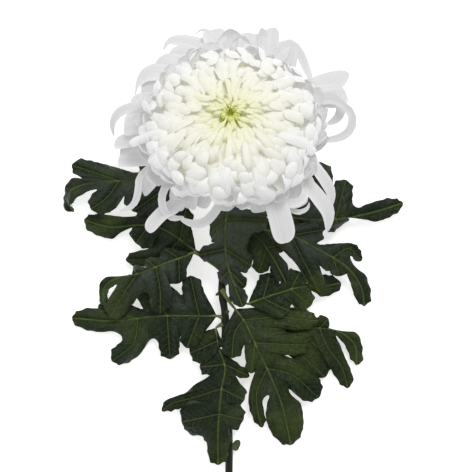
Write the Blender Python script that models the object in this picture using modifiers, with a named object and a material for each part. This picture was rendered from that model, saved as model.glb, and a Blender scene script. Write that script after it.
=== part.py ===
"""A white disbud chrysanthemum on a cut, leafy stem, lying on a table with its bloom facing up.

The stem runs along Y with its cut end towards -Y, the table is the plane z = 0, and the bloom's
axis leans from the vertical towards +Y. Lengths are metres unless a name says otherwise.

The plan view is laid out on a drawing whose unit is DRAWING_UNIT, x to the right and y down, as
an eye EYE_HEIGHT above the table sees the flower. A drawn point is (x, y, height in millimetres).
"""

import math
import random
from dataclasses import dataclass

import bmesh
import bpy
import numpy as np
from mathutils import Matrix, Vector

COLLECTION_NAME = "disbud_chrysanthemum"
MM = 0.001
GAP = 0.3 * MM
WELD = 0.000001

# The drawing and the table
DRAWING_UNIT = 0.62 * MM
DRAWING_EYE = (236.0, 236.0)
DRAWING_ORIGIN = (235.0, 299.0)
EYE_HEIGHT = 1.627

# The stem and the neck
STEM_RADIUS = 2.3 * MM
STEM_SIDES = 8
STEM_STATIONS = 25
NECK_SPARE = 2.0 * MM
CUT_Y = -0.167
CUT_SLANT = math.radians(38)
STEM_LINE = (
    (228.5, 575, 2.2), (228.7, 520, 3.2), (229, 470, 4.6), (229, 440, 5.6), (227, 385, 7.4),
    (225.5, 340, 9.0), (225, 315, 10.0), (222, 290, 11.0), (223, 262, 11.4), (226, 235, 11.8),
    (228.5, 208, 13.4), (230.2, 184, 18.4),
)
BUD_SCARS = ((226.5, 313, 11.5, 3.4, 25), (219.5, 293, 11.0, 3.0, 75), (229, 354, 9.5, 2.8, -50))
STIPULE_ROOT = ((230, 446, 6.0), (234, 446, 6.0))
STIPULE_TIPS = ((240, 441, 4.5), (238, 450, 5.5))
STIPULE_WIDTH = 5 * MM

# The bloom: centre of the receptacle, lean of the axis, and the dome of incurved petals
BLOOM_CENTRE = Vector((-2.4 * MM, 92.3 * MM, 40 * MM))
BLOOM_LEAN = math.radians(28)
DOME_RADIUS = 50 * MM
DOME_HEIGHT = 25 * MM
DOME_BASE = 25 * MM
CORE_RADIUS = 33 * MM
CORE_HEIGHT = 19 * MM
CORE_BASE = 19.5 * MM
PETAL_THICKNESS = 1.1 * MM
PETAL_WIDEST = 0.76
PETAL_SEED = 7
RING_STATIONS = (0.0, 0.52, 0.84, 1.0)
OUTER_STATIONS = (0.0, 0.36, 0.62, 0.84, 1.0)
HOOKED_STATIONS = (0.0, 0.3, 0.5, 0.65, 0.78, 0.9, 1.0)
SMALL_STATIONS = (0.0, 0.6, 1.0)
EYE_RADIUS = 4.6 * MM
EYE_TOP = 47 * MM
EYE_DEPTH = 17 * MM
EYE_FLORETS = 9

# The green cup behind the bloom
CUP_DEPTH = 13 * MM
CUP_OUTLINE = ((2.9, -13.0), (5.2, -11.2), (9.2, -7.2), (11.2, -3.4), (11.4, 0.3), (7.0, 0.2))
BRACT_COUNT = 8
BRACT_RINGS = ((4.6, -11.4, 11.6, -3.0), (7.6, -8.0, 13.0, 0.0))
BRACT_WIDTH = 4.6 * MM

# Leaves
BLADE_THICKNESS = 0.7 * MM
PETIOLE_RADIUS = 1.3 * MM
PETIOLE_STATIONS = 5
ROW_MARGIN = ((0.56, -1.0), (0.91, -0.72), (1.0, 0.0), (0.91, 0.72), (0.56, 1.0))
TERMINAL_MARGIN = ((0.45, 1.0), (0.84, 0.74), (1.0, 0.0))


@dataclass(frozen=True)
class Ring:
    """One ring of incurved petals: polar angle of the tips in degrees, count, and sizes in mm."""

    tip_angle: float
    count: int
    width: float
    cup: float


@dataclass(frozen=True)
class OuterPetal:
    """One spreading petal: the drawn points that it passes, and its width in drawing units."""

    line: tuple
    width: float
    cup: float = 0.8
    twist: float = 0.0
    blunt: float = 0.35


@dataclass(frozen=True)
class Lobe:
    """One side lobe of a leaf: drawn tip, half width in drawing units, notch beyond it, and bends.

    The notch towards the leaf's end lies at a share of the way from the midrib to the lobes' edges.
    """

    tip: tuple
    width: float
    notch: float
    via: tuple = ()


@dataclass(frozen=True)
class LobePair:
    """Two opposite lobes whose veins leave the midrib at one place, a share of its length."""

    place: float
    left: Lobe
    right: Lobe


@dataclass(frozen=True)
class Leaf:
    """One leaf: petiole, midrib, pairs of lobes, and the half width of its end in drawing units."""

    name: str
    petiole: tuple
    midrib: tuple
    pairs: tuple
    end_width: float
    base_notch: float = 0.3


RINGS = (
    Ring(11, 7, 6.0, 0.9),
    Ring(22, 10, 9.0, 0.9),
    Ring(35, 14, 10.6, 0.9),
    Ring(49, 17, 11.8, 0.85),
    Ring(64, 19, 13.0, 0.8),
    Ring(80, 20, 14.2, 0.8),
)
SPREAD_RING = Ring(97, 17, 17.5, 0.7)
SPREAD_LINE = ((24, 6), (38, 8), (47, 14), (51, 24))

OUTER_PETALS = (
    OuterPetal(((206, 44, 14), (184, 35, 9), (168, 41, 3), (162, 52, -0.6)), 10),
    OuterPetal(((219, 48, 13), (208, 33, 8), (198, 30, 3.5)), 15),
    OuterPetal(((236, 48, 13), (232, 34, 8), (230, 28, 5)), 17),
    OuterPetal(((252, 48, 14), (257, 35, 8), (260, 28, 5)), 13),
    OuterPetal(((266, 50, 14), (275, 36, 6), (279, 30, -0.6)), 13),
    OuterPetal(((276, 55, 17), (291, 42, 11), (302, 58, 8), (313, 80, 12)), 9),
    OuterPetal(((300, 92, 30), (326, 84, 25), (348, 72, 20)), 14),
    OuterPetal(((300, 104, 34), (330, 93, 33), (346, 92, 28), (340, 101, 22)), 15),
    OuterPetal(((303, 110, 38), (340, 100, 38), (343, 112, 32), (328, 124, 30)), 9),
    OuterPetal(((310, 112, 42), (342, 104, 45), (355, 120, 42), (344, 138, 38), (317, 142, 36)), 10),
    OuterPetal(((286, 130, 48), (312, 138, 50), (318, 152, 46)), 20),
    OuterPetal(((300, 158, 52), (322, 172, 54), (333, 190, 50), (331, 208, 45)), 10),
    OuterPetal(((296, 170, 55), (316, 192, 57), (328, 214, 51), (327, 233, 44)), 13),
    OuterPetal(((284, 172, 60), (300, 190, 62), (302, 206, 58), (290, 212, 52)), 16),
    OuterPetal(((268, 172, 62), (276, 190, 66), (280, 205, 63), (294, 211, 57)), 13),
    OuterPetal(((264, 180, 64), (273, 205, 66), (284, 243, 56)), 24, 0.6),
    OuterPetal(((252, 178, 64), (257, 198, 68), (262, 211, 60)), 24),
    OuterPetal(((238, 176, 64), (240, 192, 67), (243, 204, 60)), 22),
    OuterPetal(((222, 178, 64), (221, 202, 67), (206, 225, 62), (192, 227, 57), (181, 219, 52)), 9),
    OuterPetal(((206, 178, 62), (200, 200, 66), (194, 214, 60)), 22),
    OuterPetal(((180, 172, 57), (163, 190, 58), (164, 212, 54), (181, 220, 50)), 13),
    OuterPetal(((186, 180, 58), (176, 208, 57), (150, 234, 48)), 14, 0.5),
    OuterPetal(((170, 160, 52), (148, 180, 52), (137, 198, 47), (121, 211, 42)), 10),
    OuterPetal(((172, 156, 52), (157, 175, 53), (145, 197, 47)), 18, 0.6),
    OuterPetal(((165, 146, 47), (140, 155, 45), (121, 164, 37)), 26, 0.5),
    OuterPetal(((168, 138, 44), (135, 140, 42), (115, 148, 34)), 22),
    OuterPetal(((165, 118, 38), (130, 104, 36), (113, 117, 31), (116, 137, 26)), 13),
    OuterPetal(((165, 108, 34), (140, 96, 31), (134, 108, 27)), 20),
    OuterPetal(((170, 92, 28), (148, 76, 24), (134, 90, 20)), 20),
    OuterPetal(((178, 78, 24), (160, 62, 19), (153, 74, 15)), 18),
    OuterPetal(((190, 66, 20), (176, 52, 15), (168, 62, 11)), 16),
)

LEAVES = (
    Leaf("leaf_bloom_left",
         ((228, 200, 17), (216, 197, 20), (204, 193, 23)),
         ((204, 193, 23), (170, 184, 26), (133, 181, 27), (97, 182, 24), (74, 188, 18),
          (65.5, 200, 12), (73, 212, 7)),
         (LobePair(0.30, Lobe((140, 212, 20), 17, 0.95), Lobe((150, 162, 22), 14, 0.95)),
          LobePair(0.50, Lobe((95, 213, 17), 12, 0.8, ((111, 198, 22),)),
                   Lobe((72, 165, 20), 10, 0.6, ((97, 173, 24),)))),
         9.5),
    Leaf("leaf_bloom_right",
         ((231, 206, 16), (244, 210, 18), (262, 213, 20)),
         ((262, 213, 20), (300, 218, 21), (335, 219, 17), (370, 213, 11), (403, 203, 5)),
         (LobePair(0.28, Lobe((320, 160, 22), 14, 0.95, ((316, 190, 22),)), Lobe((312, 232, 13), 12, 1.1)),
          LobePair(0.50, Lobe((350, 181, 15), 10, 0.7), Lobe((346, 231, 11), 10, 1.15))),
         12.0),
    Leaf("leaf_front_centre",
         ((228.5, 194, 19), (228, 200, 23)),
         ((228, 200, 23), (225, 240, 28), (229, 270, 27), (243, 307, 19)),
         (LobePair(0.22, Lobe((250, 228, 28), 12, 0.9), Lobe((209, 236, 18), 11, 0.85)),
          LobePair(0.45, Lobe((254, 262, 19), 11, 0.8), Lobe((201, 262, 25), 9, 0.85)),
          LobePair(0.64, Lobe((247, 288, 19), 7, 0.8), Lobe((219, 282, 15), 7, 0.8))),
         8.0),
    Leaf("leaf_under_bloom",
         ((231, 216, 11.5), (243, 225, 11.5)),
         ((243, 225, 11.5), (260, 240, 13.5), (273, 258, 14.5), (286, 282, 15)),
         (LobePair(0.22, Lobe((276, 226, 13), 11, 0.8), Lobe((243, 262, 12), 9, 0.85)),
          LobePair(0.45, Lobe((292, 249, 12.5), 9, 0.8), Lobe((257, 275, 12), 9, 0.8))),
         10.0),
    Leaf("leaf_right_middle",
         ((231, 226, 13), (246, 228, 18), (262, 229, 22)),
         ((262, 229, 22), (293, 236, 25), (320, 250, 24), (347, 267, 17), (361, 286, 9),
          (365, 306, 3)),
         (LobePair(0.26, Lobe((320, 226, 21), 11, 1.05), Lobe((319, 294, 14), 10, 0.8, ((305, 264, 19),))),
          LobePair(0.55, Lobe((363, 260, 12), 7, 0.75, ((350, 250, 17),)), Lobe((341, 282, 11), 7, 0.9))),
         9.5),
    Leaf("leaf_left_upper",
         ((221, 262, 11.5), (208, 256, 14), (196, 251, 15)),
         ((196, 251, 15), (163, 229, 17), (140, 225, 15), (110, 227, 10), (84, 220, 5)),
         (LobePair(0.22, Lobe((124, 261, 7), 8, 0.75, ((156, 254, 10),)), Lobe((188, 222, 17), 11, 0.8)),
          LobePair(0.42, Lobe((129, 245, 10), 10, 1.15), Lobe((147, 201, 14), 12, 0.8))),
         11.5),
    Leaf("leaf_left_middle",
         ((220, 268, 12), (207, 260, 17), (194, 253, 20)),
         ((194, 253, 20), (165, 263, 23), (140, 273, 22), (115, 279, 18), (102, 288, 13),
          (100, 298, 10), (106, 307, 8)),
         (LobePair(0.20, Lobe((179, 285, 15), 10, 0.8), Lobe((163, 250, 20), 5, 0.9)),
          LobePair(0.33, Lobe((160, 313, 15), 12, 0.8, ((160, 290, 20),)), Lobe((145, 263, 20), 5, 0.9)),
          LobePair(0.48, Lobe((112, 319, 12), 10, 0.55, ((130, 294, 18),)), Lobe((131, 270, 19), 4, 1.0))),
         8.5),
    Leaf("leaf_left_lower",
         ((221, 318, 10), (210, 317, 11.5)),
         ((210, 317, 11.5), (160, 316, 12), (115, 321, 9), (72, 318, 3)),
         (LobePair(0.12, Lobe((184, 348, 10), 11, 0.9), Lobe((190, 277, 9), 15, 0.7)),
          LobePair(0.32, Lobe((167, 360, 4), 10, 0.6), Lobe((142, 288, 8), 13, 0.9)),
          LobePair(0.52, Lobe((111, 361, 3), 13, 0.75, ((134, 343, 7),)), Lobe((98, 306, 3), 10, 0.95))),
         11.5, 0.9),
    Leaf("leaf_front_large",
         ((222, 290, 12.5), (228, 300, 15.5), (235, 309, 15.8)),
         ((235, 309, 15.8), (246, 324, 16.5), (258, 350, 15), (270, 375, 13), (282, 405, 9),
          (291, 445, 3)),
         (LobePair(0.10, Lobe((313, 317, 9), 11, 0.85, ((275, 317, 10.5),)),
                   Lobe((229, 362, 16), 10, 0.45, ((234, 335, 17),))),
          LobePair(0.26, Lobe((306, 347, 9), 12, 0.6), Lobe((248, 377, 12), 8, 0.9)),
          LobePair(0.42, Lobe((319, 398, 6), 15, 0.8, ((292, 373, 11),)),
                   Lobe((263, 427, 4), 8, 0.6, ((256, 386, 11), (257, 408, 8))))),
         18.5),
    Leaf("leaf_behind_large",
         ((228, 338, 8.5), (240, 338, 7)),
         ((252, 335, 6), (290, 331, 6), (320, 328, 7), (340, 332, 7.5), (356, 345, 5),
          (354, 367, 3)),
         (LobePair(0.34, Lobe((297, 313, 4), 8, 0.9), Lobe((327, 378, 3), 8, 0.75, ((305, 349, 6),))),
          LobePair(0.50, Lobe((322, 319, 7), 4, 0.9),
                   Lobe((347, 388, 2.5), 9, 0.6, ((330, 345, 7), (347, 370, 5))))),
         10.5),
    Leaf("leaf_bottom",
         ((223, 324, 10.5), (216, 328, 10)),
         ((216, 328, 10), (219, 348, 11.5), (225, 368, 14), (221, 392, 17), (218, 430, 14),
          (218, 465, 7)),
         (LobePair(0.10, Lobe((224, 346, 12.6), 4, 0.8), Lobe((186, 348, 5), 12, 0.95)),
          LobePair(0.26, Lobe((249, 375, 10), 7, 0.6), Lobe((203, 370, 6), 10, 0.5)),
          LobePair(0.44, Lobe((245, 398, 8), 13, 1.2),
                   Lobe((164, 412, 4), 9, 1.1, ((194, 394, 10), (173, 401, 8)))),
          LobePair(0.62, Lobe((244, 421, 8), 13, 0.9), Lobe((188, 430, 5), 14, 0.95))),
         13.0),
    Leaf("leaf_right_lower",
         ((229, 299, 9.5), (238, 301, 11.5), (248, 304, 14.5)),
         ((248, 304, 14.5), (270, 296, 15.5), (300, 285, 13), (323, 284, 8.5), (341, 285, 5)),
         (LobePair(0.20, Lobe((267, 272, 9), 10, 0.9), Lobe((286, 309, 15), 10, 0.95)),
          LobePair(0.46, Lobe((298, 269, 9), 11, 0.85), Lobe((319, 302, 8), 11, 0.95))),
         11.5),
)


def seen(point: tuple) -> Vector:
    """The place in the model of a drawn point, which the eye sees past its height."""
    x, y, height_mm = point
    height = height_mm * MM
    nearer = (EYE_HEIGHT - height) / EYE_HEIGHT
    eye_x = (DRAWING_EYE[0] - DRAWING_ORIGIN[0]) * DRAWING_UNIT
    eye_y = (DRAWING_ORIGIN[1] - DRAWING_EYE[1]) * DRAWING_UNIT
    return Vector((
        eye_x + (x - DRAWING_EYE[0]) * DRAWING_UNIT * nearer,
        eye_y + (DRAWING_EYE[1] - y) * DRAWING_UNIT * nearer,
        height,
    ))


def unit(vector: np.ndarray) -> np.ndarray:
    """The vector at length one."""
    return vector / max(float(np.linalg.norm(vector)), 1e-9)


class Spine:
    """A smooth line through points, with a side vector carried along it without twisting."""

    STEPS = 10

    def __init__(self, points: list, side) -> None:
        """Samples the line and its frames; `side` is the side vector wanted at the start."""
        knots = [np.array(p, dtype=float) for p in points]
        knots = [2 * knots[0] - knots[1], *knots, 2 * knots[-1] - knots[-2]]
        line = []
        for before, start, end, after in zip(knots, knots[1:], knots[2:], knots[3:]):
            for step in range(self.STEPS):
                line.append(self._between(before, start, end, after, step / self.STEPS))
        line.append(knots[-2])
        self.line = np.array(line)
        lengths = np.linalg.norm(np.diff(self.line, axis=0), axis=1)
        self.place = np.concatenate(([0.0], np.cumsum(lengths)))
        self.length = float(self.place[-1])
        self.tangents = np.array([unit(t) for t in np.gradient(self.line, axis=0)])
        carried = np.array(side, dtype=float)
        sides = []
        for tangent in self.tangents:
            carried = unit(carried - tangent * float(carried @ tangent))
            sides.append(carried)
        self.sides = np.array(sides)
        self.normals = np.cross(self.tangents, self.sides)

    @staticmethod
    def _between(before, start, end, after, t: float) -> np.ndarray:
        """A point of the Catmull-Rom curve between `start` and `end`."""
        return 0.5 * (
            2 * start + (end - before) * t
            + (2 * before - 5 * start + 4 * end - after) * t * t
            + (3 * start - before - 3 * end + after) * t ** 3
        )

    def at(self, u: float) -> tuple:
        """Point, side and normal at the fraction `u` of the length."""
        where = u * self.length
        index = int(np.clip(np.searchsorted(self.place, where) - 1, 0, len(self.place) - 2))
        span = self.place[index + 1] - self.place[index]
        t = (where - self.place[index]) / max(span, 1e-9)
        return tuple(a[index] * (1 - t) + a[index + 1] * t for a in (self.line, self.sides, self.normals))


def clear_scene() -> None:
    """Removes everything that the file opens with."""
    for item in list(bpy.data.objects):
        bpy.data.objects.remove(item, do_unlink=True)
    for group in list(bpy.data.collections):
        bpy.data.collections.remove(group)


def new_collection(name: str) -> bpy.types.Collection:
    """A new collection in the scene."""
    group = bpy.data.collections.new(name)
    bpy.context.scene.collection.children.link(group)
    return group


def material(name: str, colour: tuple, roughness: float) -> bpy.types.Material:
    """A plain material with a Principled BSDF."""
    made = bpy.data.materials.new(name)
    made.use_nodes = True
    shader = made.node_tree.nodes["Principled BSDF"]
    shader.inputs["Base Color"].default_value = (*colour, 1.0)
    shader.inputs["Roughness"].default_value = roughness
    shader.inputs["Metallic"].default_value = 0.0
    made.diffuse_color = (*colour, 1.0)
    return made


def object_from(bm: bmesh.types.BMesh, name: str, group: bpy.types.Collection) -> bpy.types.Object:
    """Turns a bmesh into a smooth-shaded object in a collection."""
    bmesh.ops.recalc_face_normals(bm, faces=bm.faces)
    mesh = bpy.data.meshes.new(name)
    bm.to_mesh(mesh)
    bm.free()
    mesh.shade_smooth()
    mesh.set_sharp_from_angle(angle=math.radians(50))
    made = bpy.data.objects.new(name, mesh)
    group.objects.link(made)
    return made


def evaluated(item: bpy.types.Object) -> bpy.types.Mesh:
    """The object's mesh after its modifiers, as a mesh of its own."""
    bpy.context.view_layer.update()
    graph = bpy.context.evaluated_depsgraph_get()
    return bpy.data.meshes.new_from_object(item.evaluated_get(graph))


def apply_modifiers(item: bpy.types.Object) -> None:
    """Applies every modifier of a mesh object."""
    mesh = evaluated(item)
    item.modifiers.clear()
    item.data = mesh


def remove(items) -> None:
    """Removes objects that have done their work."""
    for item in list(items):
        bpy.data.objects.remove(item, do_unlink=True)


def as_cutter(item: bpy.types.Object) -> bpy.types.Object:
    """Marks an object as one that only cuts."""
    item.hide_render = True
    item.display_type = "WIRE"
    return item


def islands(bm: bmesh.types.BMesh) -> list:
    """The separate bodies of a bmesh, each as a list of faces."""
    left = set(bm.faces)
    found = []
    while left:
        body = []
        waiting = [left.pop()]
        while waiting:
            face = waiting.pop()
            body.append(face)
            for edge in face.edges:
                for other in edge.link_faces:
                    if other in left:
                        left.remove(other)
                        waiting.append(other)
        found.append(body)
    return found


def keep_main_body(item: bpy.types.Object) -> None:
    """Drops loose scraps and the walls of sealed hollows, which leaves the largest body."""
    bm = bmesh.new()
    bm.from_mesh(item.data)
    bmesh.ops.triangulate(bm, faces=bm.faces)
    bodies = sorted(islands(bm), key=len, reverse=True)
    loose = [face for body in bodies[1:] for face in body]
    bmesh.ops.delete(bm, geom=loose, context="FACES")
    bm.to_mesh(item.data)
    bm.free()


def unite(item: bpy.types.Object, group: bpy.types.Collection, solver: str = "EXACT") -> None:
    """Joins every object of a collection to the object and removes them."""
    joint = item.modifiers.new("unite", "BOOLEAN")
    joint.operation = "UNION"
    joint.operand_type = "COLLECTION"
    joint.collection = group
    joint.solver = solver
    apply_modifiers(item)
    remove(group.objects)


def subtract(item: bpy.types.Object, cutter: bpy.types.Object, solver: str = "EXACT") -> None:
    """Cuts one object out of another and leaves the cutter in place."""
    cut = item.modifiers.new("subtract", "BOOLEAN")
    cut.operation = "DIFFERENCE"
    cut.object = cutter
    cut.solver = solver
    apply_modifiers(item)


def tube(name: str, line: list, radii: list, group: bpy.types.Collection, sides: int) -> bpy.types.Object:
    """A round tube along a line, made from a bevelled curve with filled caps."""
    curve = bpy.data.curves.new(name, "CURVE")
    curve.dimensions = "3D"
    curve.bevel_depth = 1.0
    curve.bevel_resolution = max(0, sides // 2 - 2)
    curve.use_fill_caps = True
    spline = curve.splines.new("POLY")
    spline.points.add(len(line) - 1)
    for point, place, radius in zip(spline.points, line, radii):
        point.co = (*place, 1.0)
        point.radius = radius
    guide = bpy.data.objects.new(name + "_curve", curve)
    group.objects.link(guide)
    mesh = evaluated(guide)
    remove([guide])
    bm = bmesh.new()
    bm.from_mesh(mesh)
    bpy.data.meshes.remove(mesh)
    bmesh.ops.remove_doubles(bm, verts=bm.verts, dist=WELD)
    bmesh.ops.triangulate(bm, faces=bm.faces)
    return object_from(bm, name, group)


def stem_spine() -> Spine:
    """The line of the stem from its cut end up into the neck, square to the bloom at its top."""
    axis = Vector((0, math.sin(BLOOM_LEAN), math.cos(BLOOM_LEAN)))
    points = [seen(p) for p in STEM_LINE]
    top = BLOOM_CENTRE - axis * (CUP_DEPTH - NECK_SPARE)
    return Spine([*points, top], (1, 0, 0))


def stem_radius(u: float) -> float:
    """Radius along the stem, slimmer below the bloom and flared where it meets the cup."""
    flare = 1.15 * MM * max(0.0, (u - 0.94) / 0.06) ** 2
    return STEM_RADIUS * (1.0 - 0.10 * u) + flare


def build_stem(group: bpy.types.Collection, cutters: bpy.types.Collection) -> bpy.types.Object:
    """The stem with its slanting cut, the scars of removed side buds, and a pair of stipules."""
    spine = stem_spine()
    places = [i / (STEM_STATIONS - 1) for i in range(STEM_STATIONS)]
    line = [Vector(spine.at(u)[0]) for u in places]
    stem = tube("stem", line, [stem_radius(u) for u in places], group, STEM_SIDES)
    stem.data.materials.append(material("stem green", (0.115, 0.15, 0.065), 0.55))

    buds = new_collection("stem_buds")
    for index, (x, y, height, length, lean) in enumerate(BUD_SCARS):
        bud = bmesh.new()
        bmesh.ops.create_icosphere(bud, subdivisions=1, radius=1.0)
        bmesh.ops.scale(bud, vec=(1.5 * MM, 1.2 * MM, length * MM), verts=bud.verts)
        made = object_from(bud, f"bud_{index}", buds)
        made.matrix_world = Matrix.Translation(seen((x, y, height))) @ Matrix.Rotation(
            math.radians(lean), 4, "Y") @ Matrix.Rotation(math.radians(-30), 4, "X")
    for index, tip in enumerate(STIPULE_TIPS):
        points = [seen(p) for p in (*STIPULE_ROOT, tip)]
        blade(Spine(points, (0, 1, 0)), STIPULE_WIDTH / 2, 0.5, SMALL_STATIONS, f"stipule_{index}", buds)
    unite(stem, buds)

    block = bmesh.new()
    bmesh.ops.create_cube(block, size=0.04)
    cutter = as_cutter(object_from(block, "cut_end_block", cutters))
    end = Vector((stem_spine().at(0)[0][0], CUT_Y, 0.0))
    slant = Matrix.Rotation(-CUT_SLANT, 4, "X")
    cutter.matrix_world = Matrix.Translation(end) @ slant @ Matrix.Translation((0, -0.02, 0))
    subtract(stem, cutter)

    block = bmesh.new()
    bmesh.ops.create_cube(block, size=0.04)
    cutter = as_cutter(object_from(block, "neck_end_block", cutters))
    cutter.matrix_world = bloom_matrix() @ Matrix.Translation((0, 0, 0.02 - CUP_DEPTH - GAP))
    subtract(stem, cutter)
    keep_main_body(stem)
    return stem


def width_along(u: float, blunt: float) -> float:
    """Width of a petal as a share of its greatest width, from root to rounded tip."""
    swell = 0.42 + 0.58 * math.sin(min(1.0, u / PETAL_WIDEST) * math.pi / 2) ** 1.2
    rounding = max(0.0, (u - PETAL_WIDEST) / (1 - PETAL_WIDEST))
    return swell * (1.0 - (1.0 - blunt) * rounding ** 2.4)


def blade(spine: Spine, half_width: float, cup: float, stations: tuple, name: str,
          group: bpy.types.Collection, twist: float = 0.0, blunt: float = 0.35,
          thickness: float = PETAL_THICKNESS) -> bpy.types.Object:
    """A petal: a four-sided lens section carried along a spine, cupped towards its normal."""
    segments = len(stations) - 1
    bm = bmesh.new()
    bmesh.ops.create_grid(bm, x_segments=segments, y_segments=4, size=1.0)
    upper, lower = [], []
    for vertex in bm.verts:
        u = stations[round((vertex.co.x + 1) / 2 * segments)]
        corner = round((vertex.co.y + 1) * 2)
        point, side, normal = spine.at(u)
        turn = twist * u
        side, normal = (side * math.cos(turn) + normal * math.sin(turn),
                        normal * math.cos(turn) - side * math.sin(turn))
        width = half_width * width_along(u, blunt)
        thick = thickness * (0.75 if u < 1 else 0.55)
        across = (-1.0, 0.0, 1.0, 0.0, -1.0)[corner]
        depth = width * (1 - math.cos(cup)) / cup if across else (-thick, thick)[corner // 2] / 2
        reach = width * math.sin(cup) / cup * across
        vertex.co = Vector(point + side * reach + normal * depth)
    for face in bm.faces:
        first = min(vertex.index for vertex in face.verts)
        (upper if first // (segments + 1) < 2 else lower).append(face)
    bmesh.ops.triangulate(bm, faces=upper, quad_method="FIXED")
    bmesh.ops.triangulate(bm, faces=lower, quad_method="ALTERNATE")
    bmesh.ops.remove_doubles(bm, verts=bm.verts, dist=WELD)
    bmesh.ops.holes_fill(bm, edges=[e for e in bm.edges if e.is_boundary], sides=4)
    bmesh.ops.triangulate(bm, faces=[f for f in bm.faces if len(f.verts) > 3])
    return object_from(bm, name, group)


def dome_point(angle: float, depth: float) -> tuple:
    """Radius and height of a point at a depth below the dome, at an angle in degrees from its pole."""
    turn = math.radians(angle)
    slope = Vector((math.sin(turn) / DOME_RADIUS, math.cos(turn) / DOME_HEIGHT)).normalized()
    radius = DOME_RADIUS * math.sin(turn) - slope.x * depth
    return radius, DOME_BASE + DOME_HEIGHT * math.cos(turn) - slope.y * depth


def incurved_line(tip_angle: float, rise: float) -> list:
    """Radius and height of the points of a petal that leaves the core and curls towards the eye."""
    root_turn = math.radians(min(tip_angle + 30, 125))
    root = (CORE_RADIUS * 0.8 * math.sin(root_turn), CORE_BASE + CORE_HEIGHT * 0.8 * math.cos(root_turn))
    back = dome_point(min(tip_angle + 22, 122), 8.0 * MM - rise)
    near = dome_point(tip_angle + 9, 0.6 * MM - rise)
    tip = dome_point(max(2.0, tip_angle - 3), 0.4 * MM - rise)
    return [root, back, near, tip]


def bloom_matrix() -> Matrix:
    """From the bloom's own frame, with its axis along Z, to the model."""
    return Matrix.Translation(BLOOM_CENTRE) @ Matrix.Rotation(-BLOOM_LEAN, 4, "X")


def in_model(radius: float, height: float, azimuth: float) -> Vector:
    """The place of a point of the bloom given by radius, height and azimuth about its axis."""
    return bloom_matrix() @ Vector((radius * math.cos(azimuth), radius * math.sin(azimuth), height))


def spreading_line(wander: float) -> list:
    """Radius and height of the points of a petal that spreads beyond the dome and cups upwards."""
    return [(radius * MM, height * MM + wander * step / 3)
            for step, (radius, height) in enumerate(SPREAD_LINE)]


def add_ring(ring: Ring, offset: float, draw: random.Random, group: bpy.types.Collection) -> None:
    """One ring of petals, evenly spaced with a small seeded wander."""
    for index in range(ring.count):
        azimuth = 2 * math.pi * (index + offset + draw.uniform(-0.12, 0.12)) / ring.count
        sweep = draw.uniform(-0.4, 0.4) / ring.count
        if ring is SPREAD_RING:
            profile = spreading_line(draw.uniform(-5, 5) * MM)
        else:
            tip_angle = ring.tip_angle + draw.uniform(-2.0, 2.0)
            profile = incurved_line(tip_angle, draw.uniform(-1.0, 1.2) * MM)
        points = []
        for step, (radius, height) in enumerate(profile):
            points.append(in_model(radius, height, azimuth + sweep * step))
        across = in_model(1, 0, azimuth + math.pi / 2) - in_model(0, 0, 0)
        half_width = ring.width * MM * draw.uniform(0.92, 1.06) / 2
        blade(Spine(points, across), half_width, ring.cup, RING_STATIONS,
              f"petal_{round(ring.tip_angle)}_{index}", group, blunt=0.5)


def add_outer_petal(petal: OuterPetal, index: int, group: bpy.types.Collection) -> None:
    """One spreading petal, from the core through its drawn points."""
    line = [seen(p) for p in petal.line]
    local = bloom_matrix().inverted() @ line[0]
    azimuth = math.atan2(local.y, local.x)
    root = in_model(17 * MM, 6 * MM, azimuth)
    across = in_model(1, 0, azimuth + math.pi / 2) - in_model(0, 0, 0)
    stations = HOOKED_STATIONS if len(petal.line) > 4 else OUTER_STATIONS
    blade(Spine([root, *line], across), petal.width * DRAWING_UNIT / 2, petal.cup, stations,
          f"outer_{index}", group, petal.twist, petal.blunt)


def build_petals(group: bpy.types.Collection, cutters: bpy.types.Collection) -> bpy.types.Object:
    """The white petals fused on their core, with a well for the eye and a flat where they rest."""
    draw = random.Random(PETAL_SEED)
    core = bmesh.new()
    bmesh.ops.create_uvsphere(core, u_segments=16, v_segments=8, radius=1.0)
    bmesh.ops.scale(core, vec=(CORE_RADIUS, CORE_RADIUS, CORE_HEIGHT), verts=core.verts)
    petals = object_from(core, "ray_petals", group)
    petals.data.transform(bloom_matrix() @ Matrix.Translation((0, 0, CORE_BASE)))
    petals.data.materials.append(material("petal white", (0.83, 0.83, 0.80), 0.5))

    repeats = new_collection("petal_repeats")
    for number, ring in enumerate((*RINGS, SPREAD_RING)):
        add_ring(ring, 0.5 * (number % 2), draw, repeats)
    for index, petal in enumerate(OUTER_PETALS):
        add_outer_petal(petal, index, repeats)
    unite(petals, repeats, "MANIFOLD")

    well = bmesh.new()
    bmesh.ops.create_cone(well, cap_ends=True, segments=12, radius1=EYE_RADIUS + GAP,
                          radius2=EYE_RADIUS + 1.5 * MM, depth=EYE_DEPTH + 8 * MM)
    cutter = as_cutter(object_from(well, "eye_well", cutters))
    middle = EYE_TOP - EYE_DEPTH / 2 - GAP + 4 * MM
    cutter.matrix_world = bloom_matrix() @ Matrix.Translation((0, 0, middle))
    subtract(petals, cutter, "MANIFOLD")

    table = bmesh.new()
    bmesh.ops.create_cube(table, size=0.4)
    cutter = as_cutter(object_from(table, "table_block", cutters))
    cutter.matrix_world = Matrix.Translation((0, 0.1, -0.2))
    subtract(petals, cutter, "MANIFOLD")
    keep_main_body(petals)
    return petals


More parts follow.
